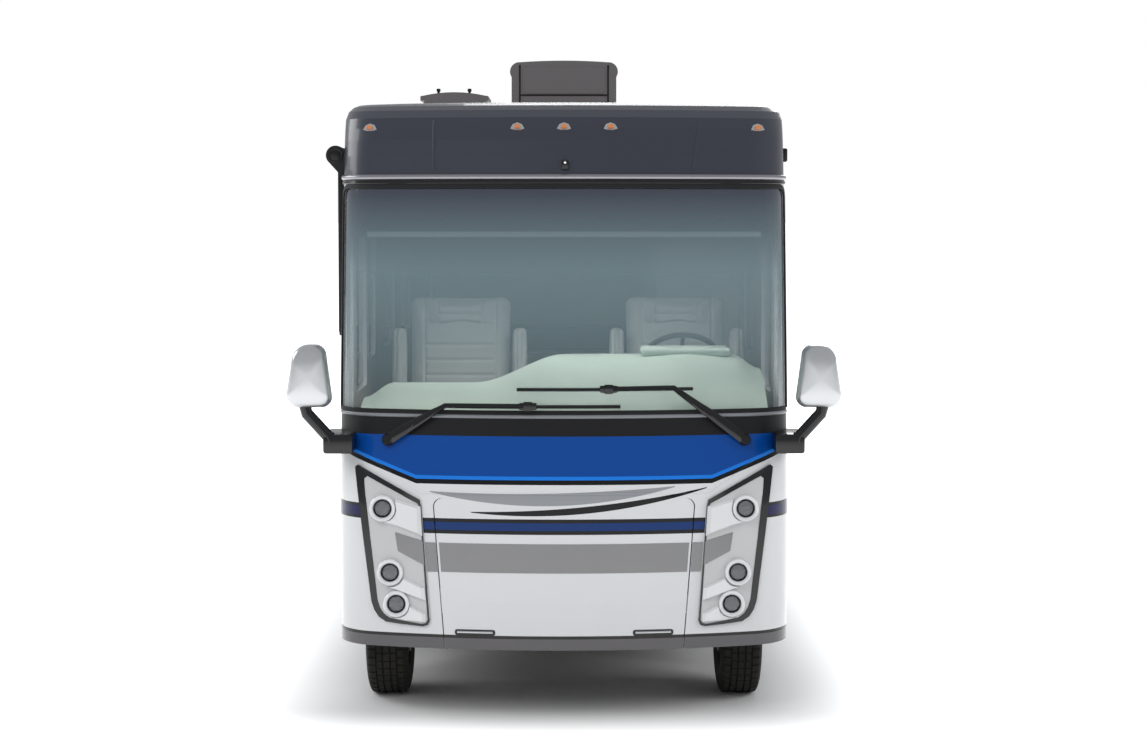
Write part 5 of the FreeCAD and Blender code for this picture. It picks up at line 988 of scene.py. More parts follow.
def mirror_ring(share, y, side):
    """One ring of a mirror head: its outline drawn in by a share, at a depth."""
    middle_x, middle_z = 1.430, 1.955
    points = []
    for u, v, bend, start in ((1.556, 1.784, 0.070, -90), (1.526, 2.138, 0.095, 0), (1.334, 2.138, 0.062, 90),
                              (1.303, 1.784, 0.056, 180)):
        corner_x = u - bend if start in (-90, 0) else u + bend
        corner_z = v + bend if start in (-90, 180) else v - bend
        for step in range(9):
            turn = math.radians(start + 90 * step / 8)
            x, z = corner_x + bend * math.cos(turn), corner_z + bend * math.sin(turn)
            points.append(Vector((side * (middle_x + (x - middle_x) * share), y,
                                  middle_z + (z - middle_z) * share)))
    return points


def mirror_heads():
    """The mirrors: domed bright shells, their glass in a black frame, and black arms and brackets."""
    shells, frames, glasses, arms = Build(), Build(), Build(), Build()
    for side in (-1, 1):
        rings = [mirror_ring(share, MIRROR_FACE - back, side)
                 for share, back in ((0.985, 0.002), (1.0, 0.018), (1.0, 0.045), (0.985, 0.078), (0.95, 0.101),
                                     (0.88, 0.118), (0.77, 0.130), (0.60, 0.138), (0.40, 0.142), (0.15, 0.144))]
        shells.rings(rings)
        frames.rings([mirror_ring(share, MIRROR_FACE - back, side)
                      for share, back in ((0.992, 0.016), (0.988, 0.001), (0.90, 0.001), (0.90, 0.008))])
        glasses.rings([mirror_ring(0.895, MIRROR_FACE - back, side) for back in (0.010, 0.006)])
        arm_y = MIRROR_FACE - 0.065
        path = [Vector((side * x, arm_y, z)) for x, z in ((1.312, 1.585), (1.320, 1.62), (1.440, 1.752),
                                                          (1.452, 1.80))]
        arms.sweep([(point, Vector((0, -1, 0))) for point in path], round_section(0.035, 16))
        low, high = sorted((side * 1.182, side * 1.350))
        arms.block((low, arm_y - 0.034, 1.527), (high, FRONT_Y + 0.47, 1.636), 0.016, 3)
        arms.lathe((side * 1.318, arm_y, 1.560), (0, 0, 1),
                   [(0.0, -0.03), (0.030, -0.03), (0.034, 0.0), (0.034, 0.075), (0.026, 0.088), (0.0, 0.09)],
                   28)
    shell = shells.piece("mirror_shells", "satin_chrome", "coach")
    frames.piece("mirror_frames", "trim", "coach")
    glasses.piece("mirror_glasses", "mirror", "coach")
    arms.piece("mirror_arms", "gloss_black", "coach")
    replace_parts(shell, "mirrors")


# Sides

def deep(value):
    """The place along the coach of a distance behind its foremost plane."""
    return FRONT_Y + value


LEFT_WINDOWS = [(0.95, 1.65, 1.80, 2.72), (2.25, 3.05, 1.95, 2.70), (8.05, 8.80, 1.95, 2.70)]
RIGHT_WINDOWS = [(0.95, 1.65, 1.80, 2.72), (3.05, 4.05, 1.95, 2.70), (4.55, 5.75, 1.95, 2.70),
                 (8.05, 8.80, 1.95, 2.70)]
SLIDE_FACE = HALF_WIDE + 0.031


def window_trim(build, bars, window, sign, x, glass_x):
    """A window's black frame on its wall, and the bar between its panes."""
    start, end, low, high = window
    outline = rounded((deep(start), low), (deep(end), high), 0.070, 8)
    build.sweep(side_path(outline, sign, x), flat_section(0.044, 0.006))
    middle = (deep(start) + deep(end)) / 2
    inner, outer = sorted((sign * glass_x, sign * (x - 0.003)))
    bars.block((inner, middle - 0.014, low + 0.002), (outer, middle + 0.014, high - 0.002), 0.003)
    bars.block((inner, deep(start) + 0.004, low + (high - low) * 0.34 - 0.010),
               (outer, deep(end) - 0.004, low + (high - low) * 0.34 + 0.010), 0.003)


def side_windows():
    """The frames of all the side windows."""
    frames, bars = Build(), Build()
    for windows, sign in ((LEFT_WINDOWS, 1), (RIGHT_WINDOWS, -1)):
        for window in windows:
            window_trim(frames, bars, window, sign, HALF_WIDE, 1.2655)
    frames.piece("side_window_frames", "rubber", "coach")
    bars.piece("side_window_bars", "trim", "coach")
    frames, bars = Build(), Build()
    window_trim(frames, bars, (3.90, 5.70, 1.95, 2.70), 1, SLIDE_FACE, SLIDE_FACE - 0.012)
    frames.piece("slide_window_frame", "rubber", "slide_room")
    bars.piece("slide_window_bars", "trim", "slide_room")
    frames, bars = Build(), Build()
    window_trim(frames, bars, (1.8103, 2.324, 1.95, 2.72), -1, HALF_WIDE, 1.262)
    frames.piece("door_window_frame", "rubber", "entry_door")
    bars.piece("door_window_bars", "trim", "entry_door")


def slide_details():
    """The seal behind the slide room's flange, its corner mouldings and the ends of its topper."""
    seal, edge, caps = Build(), Build(), Build()
    outline = [(deep(3.455), 1.055), (deep(6.145), 1.055), (deep(6.145), 3.105), (deep(3.455), 3.105)]
    edge.sweep(side_path(outline, 1, SLIDE_FACE), flat_section(0.030, 0.005))
    inner = [(deep(3.462), 1.062), (deep(6.138), 1.062), (deep(6.138), 3.098), (deep(3.462), 3.098)]
    seal.sweep(side_path(inner, 1, HALF_WIDE + 0.0052),
               [(-0.016, -0.0045), (0.0, -0.0045), (0.0, 0.010), (-0.016, 0.010)])
    seal.piece("slide_seal", "rubber", "slide_room")
    edge.piece("slide_edging", "plain_white", "slide_room")
    for y, way in ((deep(3.455), -1), (deep(6.145), 1)):
        caps.lathe((HALF_WIDE + 0.130, y, 3.215), (0, way, 0),
                   [(0.0, -0.01), (0.047, -0.01), (0.047, 0.0), (0.040, 0.0), (0.036, -0.004), (0.018, -0.004),
                    (0.014, 0.0), (0.0, 0.0)], 40)
    caps.piece("topper_caps", "trim", "slide_room")
    roll = Build()
    profile = [(0.0462, 0.0)]
    for start in (0.02, 2.64):
        profile += [(0.0480, start), (0.0480, start + 0.03)]
    profile += [(0.0462, 2.69), (0.0440, 2.69), (0.0440, 0.0)]
    roll.lathe((HALF_WIDE + 0.130, deep(3.455), 3.215), (0, 1, 0), profile, 40, closed=True)
    roll.piece("topper_fabric", "trim", "slide_room")


def bay_latches():
    """The latches of the baggage doors, each a dark tray with a bright pull."""
    for side, sign, first in (("left", 1, 1.76), ("right", -1, 2.53)):
        middle = (first + 6.15) / 2
        for number, (start, end) in enumerate(((first, middle - 0.02), (middle + 0.02, 6.15)), start=1):
            trays, pulls = Build(), Build()
            place = on_left if sign > 0 else on_right
            for share in (0.2, 0.8):
                y = deep(start + (end - start) * share)
                trays.plate(rounded((y - 0.060, 0.530), (y + 0.060, 0.610), 0.016, 4), place, 0.003, cell=0.2)
                low, high = sorted((sign * (HALF_WIDE + 0.001), sign * (HALF_WIDE + 0.014)))
                pulls.block((low, y - 0.044, 0.562), (high, y + 0.044, 0.578), 0.005)
                pulls.block((low, y - 0.010, 0.552), (high, y + 0.010, 0.588), 0.004)
            trays.piece(f"{side}_bay_trays_{number}", "trim", f"{side}_bay_door_{number}")
            pulls.piece(f"{side}_bay_pulls_{number}", "satin_chrome", f"{side}_bay_door_{number}")


def entry_details():
    """The entry door's handle and lock, its hinge knuckles, and the grab rail beside it."""
    tray, handle = Build(), Build()
    y = deep(2.335)
    tray.plate(rounded((y - 0.052, 1.17), (y + 0.052, 1.43), 0.018, 5), on_right, 0.004, cell=0.3)
    handle.block((-HALF_WIDE - 0.030, y - 0.012, 1.20), (-HALF_WIDE - 0.016, y + 0.018, 1.33), 0.006)
    handle.block((-HALF_WIDE - 0.018, y - 0.010, 1.20), (-HALF_WIDE - 0.002, y + 0.014, 1.218), 0.004)
    handle.block((-HALF_WIDE - 0.018, y - 0.010, 1.312), (-HALF_WIDE - 0.002, y + 0.014, 1.33), 0.004)
    handle.lathe((-HALF_WIDE - 0.002, y, 1.385), (-1, 0, 0),
                 [(0.0, 0.0), (0.019, 0.0), (0.019, 0.008), (0.014, 0.010), (0.0, 0.010)], 28)
    tray.piece("door_handle_tray", "trim", "entry_door")
    handle.piece("door_handle", "satin_chrome", "entry_door")
    hinges = Build()
    for z in (0.80, 1.72, 2.70):
        hinges.lathe((-HALF_WIDE - 0.009, deep(1.708), z), (0, 0, 1),
                     [(0.0, -0.06), (0.008, -0.06), (0.009, -0.055), (0.009, -0.021), (0.0075, -0.019),
                      (0.0075, -0.017), (0.009, -0.015), (0.009, 0.055), (0.008, 0.06), (0.0, 0.06)], 20)
        hinges.block((-HALF_WIDE - 0.004, deep(1.662), z - 0.055), (-HALF_WIDE + 0.002, deep(1.706), z + 0.055),
                     0.002)
    hinges.piece("door_hinges", "trim", "coach")
    rail = Build()
    path = [(-HALF_WIDE + 0.002, 1.16), (-HALF_WIDE - 0.034, 1.175), (-HALF_WIDE - 0.050, 1.205),
            (-HALF_WIDE - 0.050, 1.62), (-HALF_WIDE - 0.050, 2.035), (-HALF_WIDE - 0.034, 2.065),
            (-HALF_WIDE + 0.002, 2.08)]
    rail.sweep([(Vector((x, deep(2.52), z)), Vector((0, 1, 0))) for x, z in path], round_section(0.014, 16))
    for z in (1.16, 2.08):
        rail.lathe((-HALF_WIDE, deep(2.52), z), (-1, 0, 0),
                   [(0.0, -0.002), (0.034, -0.002), (0.034, 0.004), (0.022, 0.010), (0.0, 0.012)], 28)
    rail.piece("grab_rail", "satin_chrome", "coach")
    mats = Build()
    for low, high, start in ((-1.228, -1.000, 0.5255), (-0.990, -0.790, 0.7805)):
        for index in range(9):
            x = low + (high - low) * (index + 0.5) / 9
            mats.block((x - 0.008, deep(1.76), start), (x + 0.008, deep(2.38), start + 0.004), 0.0015, 1)
    mats.piece("step_treads", "rubber", "coach")


ARCH_HIGH, ARCH_RADIUS = 0.42, 0.549


def arch_lips():
    """The rubber lip round each wheel arch."""
    lips = Build()
    for middle in (0.99, 6.78):
        for sign in (-1, 1):
            path = []
            for step in range(33):
                turn = math.radians(2 + 176 * step / 32)
                y, z = deep(middle) + ARCH_RADIUS * math.cos(turn), ARCH_HIGH + ARCH_RADIUS * math.sin(turn)
                if y < deep(0.62):
                    continue
                path.append((Vector((sign * HALF_WIDE, y, z)), Vector((sign, 0, 0))))
            lips.sweep(path, flat_section(0.026, 0.009))
    lips.piece("arch_lips", "rubber", "coach")


def side_fittings():
    """The side markers, the fuel and power hatches, the fridge grille and the drip rails."""
    amber, red, bezels, hatches, grilles, rails, locks = (Build() for _ in range(7))
    for sign, place in ((1, on_left), (-1, on_right)):
        for y, lens in ((deep(1.615), amber), (deep(9.15), red)):
            bezels.plate(rounded((y - 0.062, 0.706), (y + 0.062, 0.764), 0.014, 4), place, 0.005, cell=0.3)
            lens.plate(rounded((y - 0.052, 0.716), (y + 0.052, 0.754), 0.010, 4), place, 0.014, cell=0.3)
        rails.sweep([(Vector((sign * HALF_WIDE, y, 3.408)), Vector((sign, 0, 0)))
                     for y in (deep(1.22), deep(3.0), deep(6.0), deep(9.18))], half_round(0.026, 0.014))
    for sign, place, start, end, low, high in ((1, on_left, 8.22, 8.46, 1.04, 1.24),
                                               (1, on_left, 9.0, 9.14, 1.06, 1.22),
                                               (-1, on_right, 8.95, 9.15, 1.06, 1.26)):
        hatches.plate(rounded((deep(start), low), (deep(end), high), 0.03, 5), place, 0.006, cell=0.5)
        y = (deep(start) + deep(end)) / 2
        locks.lathe(place(y, low + 0.035, 0.005), (sign, 0, 0),
                    [(0.0, 0.0), (0.013, 0.0), (0.013, 0.004), (0.009, 0.006), (0.0, 0.006)], 20)
    for sign, place, start, end, low, high in ((-1, on_right, 6.25, 6.75, 1.36, 1.86),
                                               (1, on_left, 6.95, 7.25, 1.30, 1.50)):
        grilles.sweep(side_path([(deep(start), low), (deep(end), low), (deep(end), high), (deep(start), high)],
                                sign), flat_section(0.030, 0.008))
        count = int((high - low) / 0.035)
        for index in range(count):
            z = low + (high - low) * (index + 0.5) / count
            path = [(Vector((sign * HALF_WIDE, y, z)), Vector((sign, 0, 0)))
                    for y in (deep(start) + 0.01, deep(end) - 0.01)]
            grilles.sweep(path, [(-0.013, -0.002), (0.010, -0.002), (0.004, 0.010), (-0.013, 0.004)])
    bezels.block((HALF_WIDE - 0.002, deep(0.90), 3.175), (HALF_WIDE + 0.036, deep(0.96), 3.255), 0.010, 3)
    amber.piece("side_markers", "amber", "coach")
    red.piece("rear_side_markers", "red", "coach")
    bezels.piece("marker_bezels", "trim", "coach")
    hatches.piece("filler_hatches", "plain_white", "coach")
    locks.piece("hatch_locks", "satin_chrome", "coach")
    grilles.piece("side_grilles", "plain_white", "coach")
    rails.piece("drip_rails", "plain_white", "coach")


AWNING_START, AWNING_END = 0.84, 6.60
AWNING_ROLL = (-HALF_WIDE - 0.0580, 3.212)
AWNING_RADIUS = 0.057


def awning_end(y, way):
    """The teardrop head at one end of the awning: a round top drawn down to a point on the wall."""
    x, z = AWNING_ROLL
    outline = [(-HALF_WIDE - 0.001, z + 0.040)]
    for step in range(17):
        turn = math.radians(50 + 172 * step / 16)
        outline.append((x + AWNING_RADIUS * math.cos(turn), z + AWNING_RADIUS * math.sin(turn)))
    outline += [(x + 0.014, z - 0.100), (x + 0.036, z - 0.148), (-HALF_WIDE - 0.001, z - 0.154)]
    return [[Vector((u, y + way * along, v)) for u, v in outline] for along in (0.0, 0.055)]


def awning_details():
    """The awning: its heads, its arms down the wall and its rolled fabric."""
    x, z = AWNING_ROLL
    heads, arms, fabric = Build(), Build(), Build()
    for y, way in ((deep(AWNING_START), 1), (deep(AWNING_END), -1)):
        heads.rings(awning_end(y, way))
        heads.lathe((x, y, z), (0, -way, 0), [(0.0, -0.002), (0.046, -0.002), (0.046, 0.005), (0.040, 0.007),
                                              (0.036, 0.004), (0.030, 0.004), (0.026, 0.007), (0.0, 0.008)], 40)
        arm_y = y + way * 0.040
        for proud, sunk, half, low, high, ease in ((0.044, 0.012, 0.021, 2.150, 3.130, 0.006),
                                                   (0.040, -0.001, 0.024, 2.158, 2.245, 0.008),
                                                   (0.020, -0.001, 0.014, 2.600, 2.640, 0.004)):
            arms.block((-HALF_WIDE - proud, arm_y - half, low), (-HALF_WIDE - sunk, arm_y + half, high), ease)
        for edge in (-0.013, 0.013):
            arms.sweep([(Vector((-HALF_WIDE - 0.044, arm_y + edge, level)), Vector((-1, 0, 0)))
                        for level in (2.17, 2.65, 3.12)], half_round(0.007, 0.003))
    long = AWNING_END - AWNING_START - 0.10
    profile = [(0.050, 0.0), (0.054, 0.006)]
    for seam in (1, 2, 3):
        place = long * seam / 4
        profile += [(0.054, place - 0.004), (0.0525, place - 0.002), (0.0525, place + 0.002),
                    (0.054, place + 0.004)]
    profile += [(0.054, long - 0.006), (0.050, long), (0.044, long), (0.044, 0.0)]
    fabric.lathe((x, deep(AWNING_START + 0.05), z), (0, 1, 0), profile, 40, closed=True)
    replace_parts(heads.piece("awning_heads", "trim", "coach"), "awning")
    arms.piece("awning_arms", "trim", "coach")
    fabric.piece("awning_fabric", "lining", "coach")


# Roof and tail

COOLER = (-0.362, 0.362, 3.20, 4.20, 3.532, 3.924)


def on_cooler(x, z, lift=0.0):
    """A point of the air conditioner's front, lifted off it."""
    return Vector((x, deep(COOLER[2]) - lift, z))


def roof_details():
    """The air conditioner's panel, louvres and gasket, the vent's pins and rim, and the roof's other fittings."""
    panel, slots, gasket, pins, lid = Build(), Build(), Build(), Build(), Build()
    low_x, high_x, start, end, foot, top = COOLER
    y = deep(start)
    panel.plate(rounded((-0.285, foot + 0.165), (0.285, top - 0.045), 0.030, 5), on_cooler, 0.006, cell=0.5)
    panel.plate([(-0.285, foot + 0.02), (0.285, foot + 0.02), (0.285, foot + 0.145), (-0.285, foot + 0.145)],
                on_cooler, 0.004, cell=0.5)
    for x in (-0.305, 0.305):
        slots.block((x - 0.006, y - 0.004, foot + 0.01), (x + 0.006, y + 0.01, top - 0.03), 0.002)
    slots.block((-0.30, y - 0.004, foot + 0.148), (0.30, y + 0.01, foot + 0.160), 0.002)
    for sign in (-1, 1):
        for index in range(7):
            z = foot + 0.10 + index * 0.026
            path = [(Vector((sign * 0.3615, deep(start + 0.30), z)), Vector((sign, 0, 0))),
                    (Vector((sign * 0.3615, deep(end - 0.12), z)), Vector((sign, 0, 0)))]
            slots.sweep(path, [(-0.007, -0.004), (0.007, -0.004), (0.003, 0.005), (-0.007, 0.002)])
    gasket.sweep([(Vector((x, y, foot - 0.020)), Vector((0, 0, 1))) for x, y in
                  ((low_x, deep(start)), (high_x, deep(start)), (high_x, deep(end)), (low_x, deep(end)))],
                 [(-0.02, 0.0), (0.02, 0.0), (0.016, 0.03), (-0.016, 0.03)], closed=True)
    for x in (-0.870, -0.655):
        pins.lathe((x, deep(3.26), 3.690), (0, 0, 1), [(0.0, -0.04), (0.009, -0.04), (0.009, 0.022),
                                                       (0.014, 0.026), (0.014, 0.040), (0.009, 0.044),
                                                       (0.0, 0.044)], 20)
    lid.sweep([(Vector((x, y, 3.660)), Vector((0, 0, 1))) for x, y in
               ((-0.978, deep(3.162)), (-0.532, deep(3.162)), (-0.532, deep(3.698)), (-0.978, deep(3.698)))],
              [(-0.010, -0.010), (0.012, -0.010), (0.014, 0.014), (0.004, 0.020), (-0.010, 0.020)], closed=True)
    panel.piece("cooler_panels", "cooler", "coach")
    slots.piece("cooler_slots", "trim", "coach")
    gasket.piece("cooler_gasket", "rubber", "coach")
    pins.piece("vent_pins", "trim", "coach")
    lid.piece("vent_rim", "trim", "coach")
    plates, covers = Build(), Build()
    for x, place in ((-0.45, 5.4), (0.40, 5.9)):
        covers.lathe((x, deep(place), 3.522), (0, 0, 1),
                     [(0.0, 0.0), (0.075, 0.0), (0.075, 0.012), (0.045, 0.020), (0.045, 0.075), (0.062, 0.080),
                      (0.062, 0.095), (0.0, 0.105)], 36)
    plates.block((-0.30, deep(7.0), 3.518), (0.06, deep(7.36), 3.600), 0.020, 3)
    plates.block((-0.26, deep(7.04), 3.598), (0.02, deep(7.32), 3.622), 0.012, 3)
    plates.block((0.28, deep(8.2), 3.518), (0.64, deep(8.56), 3.590), 0.020, 3)
    covers.piece("pipe_vents", "plain_white", "coach")
    plates.piece("roof_hatches", "plain_white", "coach")


TAIL_PROFILE = [(0.620, 0.024), (1.100, 0.0), (2.700, 0.022), (3.420, 0.084)]
TAIL_SET, TAIL_BOW = 0.110, 6.0
LADDER_LOW, LADDER_HIGH, RUNGS = 1.050, 3.420, 7


def on_tail(x, z, lift=0.0):
    """A point of the rear's outside, lifted off it."""
    reach = reach_at(TAIL_PROFILE, z)[0] + TAIL_BOW - math.sqrt(TAIL_BOW ** 2 - x * x)
    return Vector((x, -FRONT_Y - TAIL_SET - reach + lift, z))


def tail_path(outline, closed=True):
    """An outline on the rear as (point, outward) pairs."""
    return [(on_tail(u, v), Vector((0, 1, 0))) for u, v in spaced(outline, 0.06, closed)]


def tail_details():
    """The rear's lamp frames, white and amber lenses, plate, reflectors, top lamps, camera and creases."""
    frames, white, amber, red, plate, trims = (Build() for _ in range(6))
    for sign in (-1, 1):
        low, high = sorted((sign * 0.855, sign * 1.005))
        frames.sweep(tail_path([(low, 0.90), (high, 0.90), (high, 1.42), (low, 1.42)]),
                     flat_section(0.022, 0.026))
        for z in (1.062, 1.235):
            frames.sweep([(on_tail(x, z, 0.018), Vector((0, 1, 0))) for x in (low, high)],
                         half_round(0.014, 0.006))
        white.plate(rounded((low + 0.016, 0.918), (high - 0.016, 1.050), 0.02, 4), on_tail, 0.0225, cell=0.3)
        amber.plate(rounded((low + 0.016, 1.247), (high - 0.016, 1.402), 0.02, 4), on_tail, 0.0225, cell=0.3)
        low, high = sorted((sign * 0.86, sign * 1.0))
        red.plate(rounded((low, 0.72), (high, 0.76), 0.01, 3), on_tail, 0.008, cell=0.3)
    for x in (-1.0, -0.20, 0.0, 0.20, 1.0):
        red.plate(rounded((x - 0.05, 3.300), (x + 0.05, 3.330), 0.012, 4), on_tail, 0.018, cell=0.3)
        trims.plate(rounded((x - 0.060, 3.292), (x + 0.060, 3.338), 0.016, 4), on_tail, 0.008, cell=0.3)
    red.plate(rounded((-0.16, 2.98), (0.16, 3.016), 0.012, 4), on_tail, 0.012, cell=0.3)
    plate.plate(rounded((-0.152, 0.806), (0.152, 0.958), 0.012, 4), on_tail, 0.008, cell=0.5)
    trims.sweep(tail_path([(-0.168, 0.790), (0.168, 0.790), (0.168, 0.974), (-0.168, 0.974)]),
                flat_section(0.020, 0.014))
    trims.block(on_tail(-0.05, 0.99) + Vector((0, -0.01, 0)), on_tail(0.05, 1.02) + Vector((0, 0.030, 0)),
                0.006)
    trims.block(on_tail(-0.03, 3.06) + Vector((0, -0.02, 0)), on_tail(0.03, 3.11) + Vector((0, 0.045, 0)),
                0.008)
    frames.piece("tail_lamp_frames", "trim", "coach")
    white.piece("reversing_lenses", "clear", "coach")
    amber.piece("rear_signal_lenses", "amber", "coach")
    red.piece("rear_red_lenses", "red", "coach")
    plate.piece("blank_plate", "lip", "coach")
    trims.piece("rear_trims", "trim", "coach")
    crease = Build()
    for z in (1.10, 2.70):
        crease.sweep(tail_path([(-1.05, z), (1.05, z)], closed=False), half_round(0.022, 0.006))
    crease.piece("tail_creases", "tail", "coach")
    grips = Build()
    step = (LADDER_HIGH - LADDER_LOW) / RUNGS
    profile = [(0.0112, 0.0), (0.0145, 0.003)]
    for rib in range(9):
        profile += [(0.0145, 0.008 + rib * 0.019), (0.0128, 0.010 + rib * 0.019),
                    (0.0128, 0.016 + rib * 0.019), (0.0145, 0.018 + rib * 0.019)]
    profile += [(0.0145, 0.177), (0.0112, 0.180), (0.0105, 0.180), (0.0105, 0.0)]
    for index in range(RUNGS):
        grips.lathe((-0.70, 4.835, LADDER_LOW + step * (index + 0.5)), (1, 0, 0), profile, 18, closed=True)
    grips.piece("ladder_grips", "rubber", "coach")


# Wheels

AXLES = (FRONT_Y + 0.99, FRONT_Y + 6.78)
WHEEL_HIGH = 0.419
TREAD_PITCHES = 48
GROOVES = (-0.060, -0.022, 0.022, 0.060)


def tread_section():
    """A tyre's section, in (radius, along, rib) with the kind of rib that each point is on."""
    side = [(0.2490, 0.0945), (0.2600, 0.1040), (0.2640, 0.1075), (0.2680, 0.1060), (0.3000, 0.1180),
            (0.3350, 0.1232), (0.3380, 0.1240), (0.3460, 0.1240), (0.3490, 0.1226), (0.3700, 0.1205),
            (0.3900, 0.1145), (0.4040, 0.1080)]
    rows = [(radius, -along, 0) for radius, along in side]
    rows += [(0.4110, -0.1035, 2), (0.4160, -0.0975, 2), (0.4185, -0.0900, 2)]
    for number, groove in enumerate(GROOVES):
        kinds = ((2, 1), (1, 1), (1, 1), (1, 2))[number]
        rows += [(0.4188, groove - 0.0052, kinds[0]), (0.4085, groove - 0.0034, 0),
                 (0.4085, groove + 0.0034, 0), (0.4188, groove + 0.0052, kinds[1])]
    rows += [(0.4185, 0.0900, 2), (0.4160, 0.0975, 2), (0.4110, 0.1035, 2)]
    rows += [(radius, along, 0) for radius, along in reversed(side)]
    return rows + [(0.2476, 0.0945, 0), (0.2476, -0.0945, 0)]


def add_tyre(build, x, y):
    """A tyre with grooved ribs, cut across in turn on the middle and shoulder ribs."""
    section = tread_section()
    rings = []
    for pitch in range(TREAD_PITCHES):
        for share, cut in ((0.0, 0), (0.03, 1), (0.11, 1), (0.14, 0), (0.5, 0), (0.53, 2), (0.66, 2),
                           (0.69, 0)):
            turn = math.tau * (pitch + share) / TREAD_PITCHES
            ring = []
            for radius, along, kind in section:
                if kind and kind == cut:
                    radius -= 0.007 if kind == 2 else 0.005
                ring.append(Vector((x + along, y + radius * math.cos(turn),
                                    WHEEL_HIGH + radius * math.sin(turn))))
            rings.append(ring)
    build.rings(rings, closed=True)


def add_nuts(build, x, y, sign, ring=0.127, count=8, size=0.0165, long=0.030):
    """A ring of wheel nuts on their washers."""
    for index in range(count):
        turn = math.tau * (index + 0.5) / count
        centre = (x, y + ring * math.cos(turn), WHEEL_HIGH + ring * math.sin(turn))
        build.lathe(centre, (sign, 0, 0), [(0.0, -0.004), (size * 1.25, -0.004), (size * 1.25, 0.003),
                                           (size, 0.004), (size, long * 0.75), (size * 0.7, long), (0.0, long)],
                    6)


def wheels():
    """The tyres with their tread, and the nuts, hub covers and valves of the wheels."""
    for side, sign in SIDES:
        front, rear = AXLES
        tyre = Build()
        add_tyre(tyre, sign * 1.04, front)
        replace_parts(tyre.piece(f"{side}_front_tread", "tyre", f"{side}_front_wheel", 35.0),
                    f"{side}_front_tyre")
        pair = Build()
        for x in (0.783, 1.067):
            add_tyre(pair, sign * x, rear)
        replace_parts(pair.piece(f"{side}_rear_treads", "tyre", f"{side}_rear_wheels", 35.0),
                    f"{side}_rear_tyres")
        for axle, body, face, y, hub in (("front", f"{side}_front_wheel", 1.094, front, 1.187),
                                         ("rear", f"{side}_rear_wheels", 1.009, rear, 1.162)):
            nuts, cover, lip = Build(), Build(), Build()
            add_nuts(nuts, sign * face, y, sign)
            nuts.lathe((sign * (face + 0.012), y + 0.205, WHEEL_HIGH + 0.075), (sign, 0.25, 0.10),
                       [(0.0, 0.0), (0.005, 0.0), (0.005, 0.045), (0.0065, 0.046), (0.0065, 0.058),
                        (0.0, 0.060)], 12)
            nuts.piece(f"{side}_{axle}_nuts", "chrome", body)
            cover.lathe((sign * hub, y, WHEEL_HIGH), (sign, 0, 0),
                        [(0.0635, -0.050), (0.0645, -0.048), (0.0645, -0.006), (0.058, 0.003), (0.030, 0.006),
                         (0.0, 0.0065), (0.0, 0.003), (0.0621, 0.0), (0.0621, -0.050)], 48)
            cover.piece(f"{side}_{axle}_hub_cover", "chrome", body)
            middle = 1.04 if axle == "front" else 1.067
            lip.lathe((sign * middle, y, WHEEL_HIGH), (sign, 0, 0),
                      [(0.2468, 0.0952), (0.2500, 0.0975), (0.2500, 0.1010), (0.2450, 0.1030), (0.2390, 0.1000),
                       (0.2372, 0.0952)], 72, closed=True)
            lip.piece(f"{side}_{axle}_rim_lip", "alloy", body)


# Below

def under_details():
    """The mud flaps behind the rear wheels, the spring bolts and the shock absorbers."""
    flaps, bolts, shocks = Build(), Build(), Build()
    rear = AXLES[1]
    for sign in (-1, 1):
        low, high = sorted((sign * 0.66, sign * 1.19))
        flaps.block((low, rear + 0.588, 0.235), (high, rear + 0.600, 0.985), 0.003)
        for rib in range(5):
            x = low + (high - low) * (rib + 0.5) / 5
            flaps.block((x - 0.012, rear + 0.598, 0.27), (x + 0.012, rear + 0.604, 0.90), 0.002)
    flaps.piece("mud_flaps", "rubber", "coach")
    for y, seat in ((AXLES[0], 0.371), (AXLES[1], 0.484)):
        for sign in (-1, 1):
            x = sign * 0.390
            for offset in (-0.052, 0.052):
                points = [(x - 0.050, seat - 0.07), (x - 0.050, seat + 0.09), (x - 0.030, seat + 0.108),
                          (x + 0.030, seat + 0.108), (x + 0.050, seat + 0.09), (x + 0.050, seat - 0.07)]
                bolts.sweep([(Vector((u, y + offset, v)), Vector((0, 1, 0))) for u, v in points],
                            round_section(0.009, 10))
            path = [Vector((x - sign * 0.10, y - 0.10, seat + 0.01)), Vector((x - sign * 0.09, y - 0.20, 0.86))]
            shocks.sweep([(point, Vector((1, 0, 0))) for point in path], round_section(0.022, 16))
            middle = (path[0] + path[1]) / 2
            shocks.sweep([(middle, Vector((1, 0, 0))), (path[1] + Vector((0, -0.005, 0.03)),
                                                        Vector((1, 0, 0)))], round_section(0.032, 16))
    bolts.piece("spring_bolts", "steel", "coach")
    shocks.piece("shock_absorbers", "steel", "coach")


# Inside the cab

WHEEL_AXIS = Vector((0.0, math.sin(math.radians(40)), math.cos(math.radians(40))))
WHEEL_PLACE = Vector((0.715, FRONT_Y + 1.25, 2.0))
GRIP_RING, GRIP_RADIUS = 0.218, 0.0163
DASH_HALF, EDGE_HIGH = 1.165, 2.752


def smooth(share):
    """A soft step from 0 to 1."""
    share = min(1.0, max(0.0, share))
    return share * share * (3 - 2 * share)


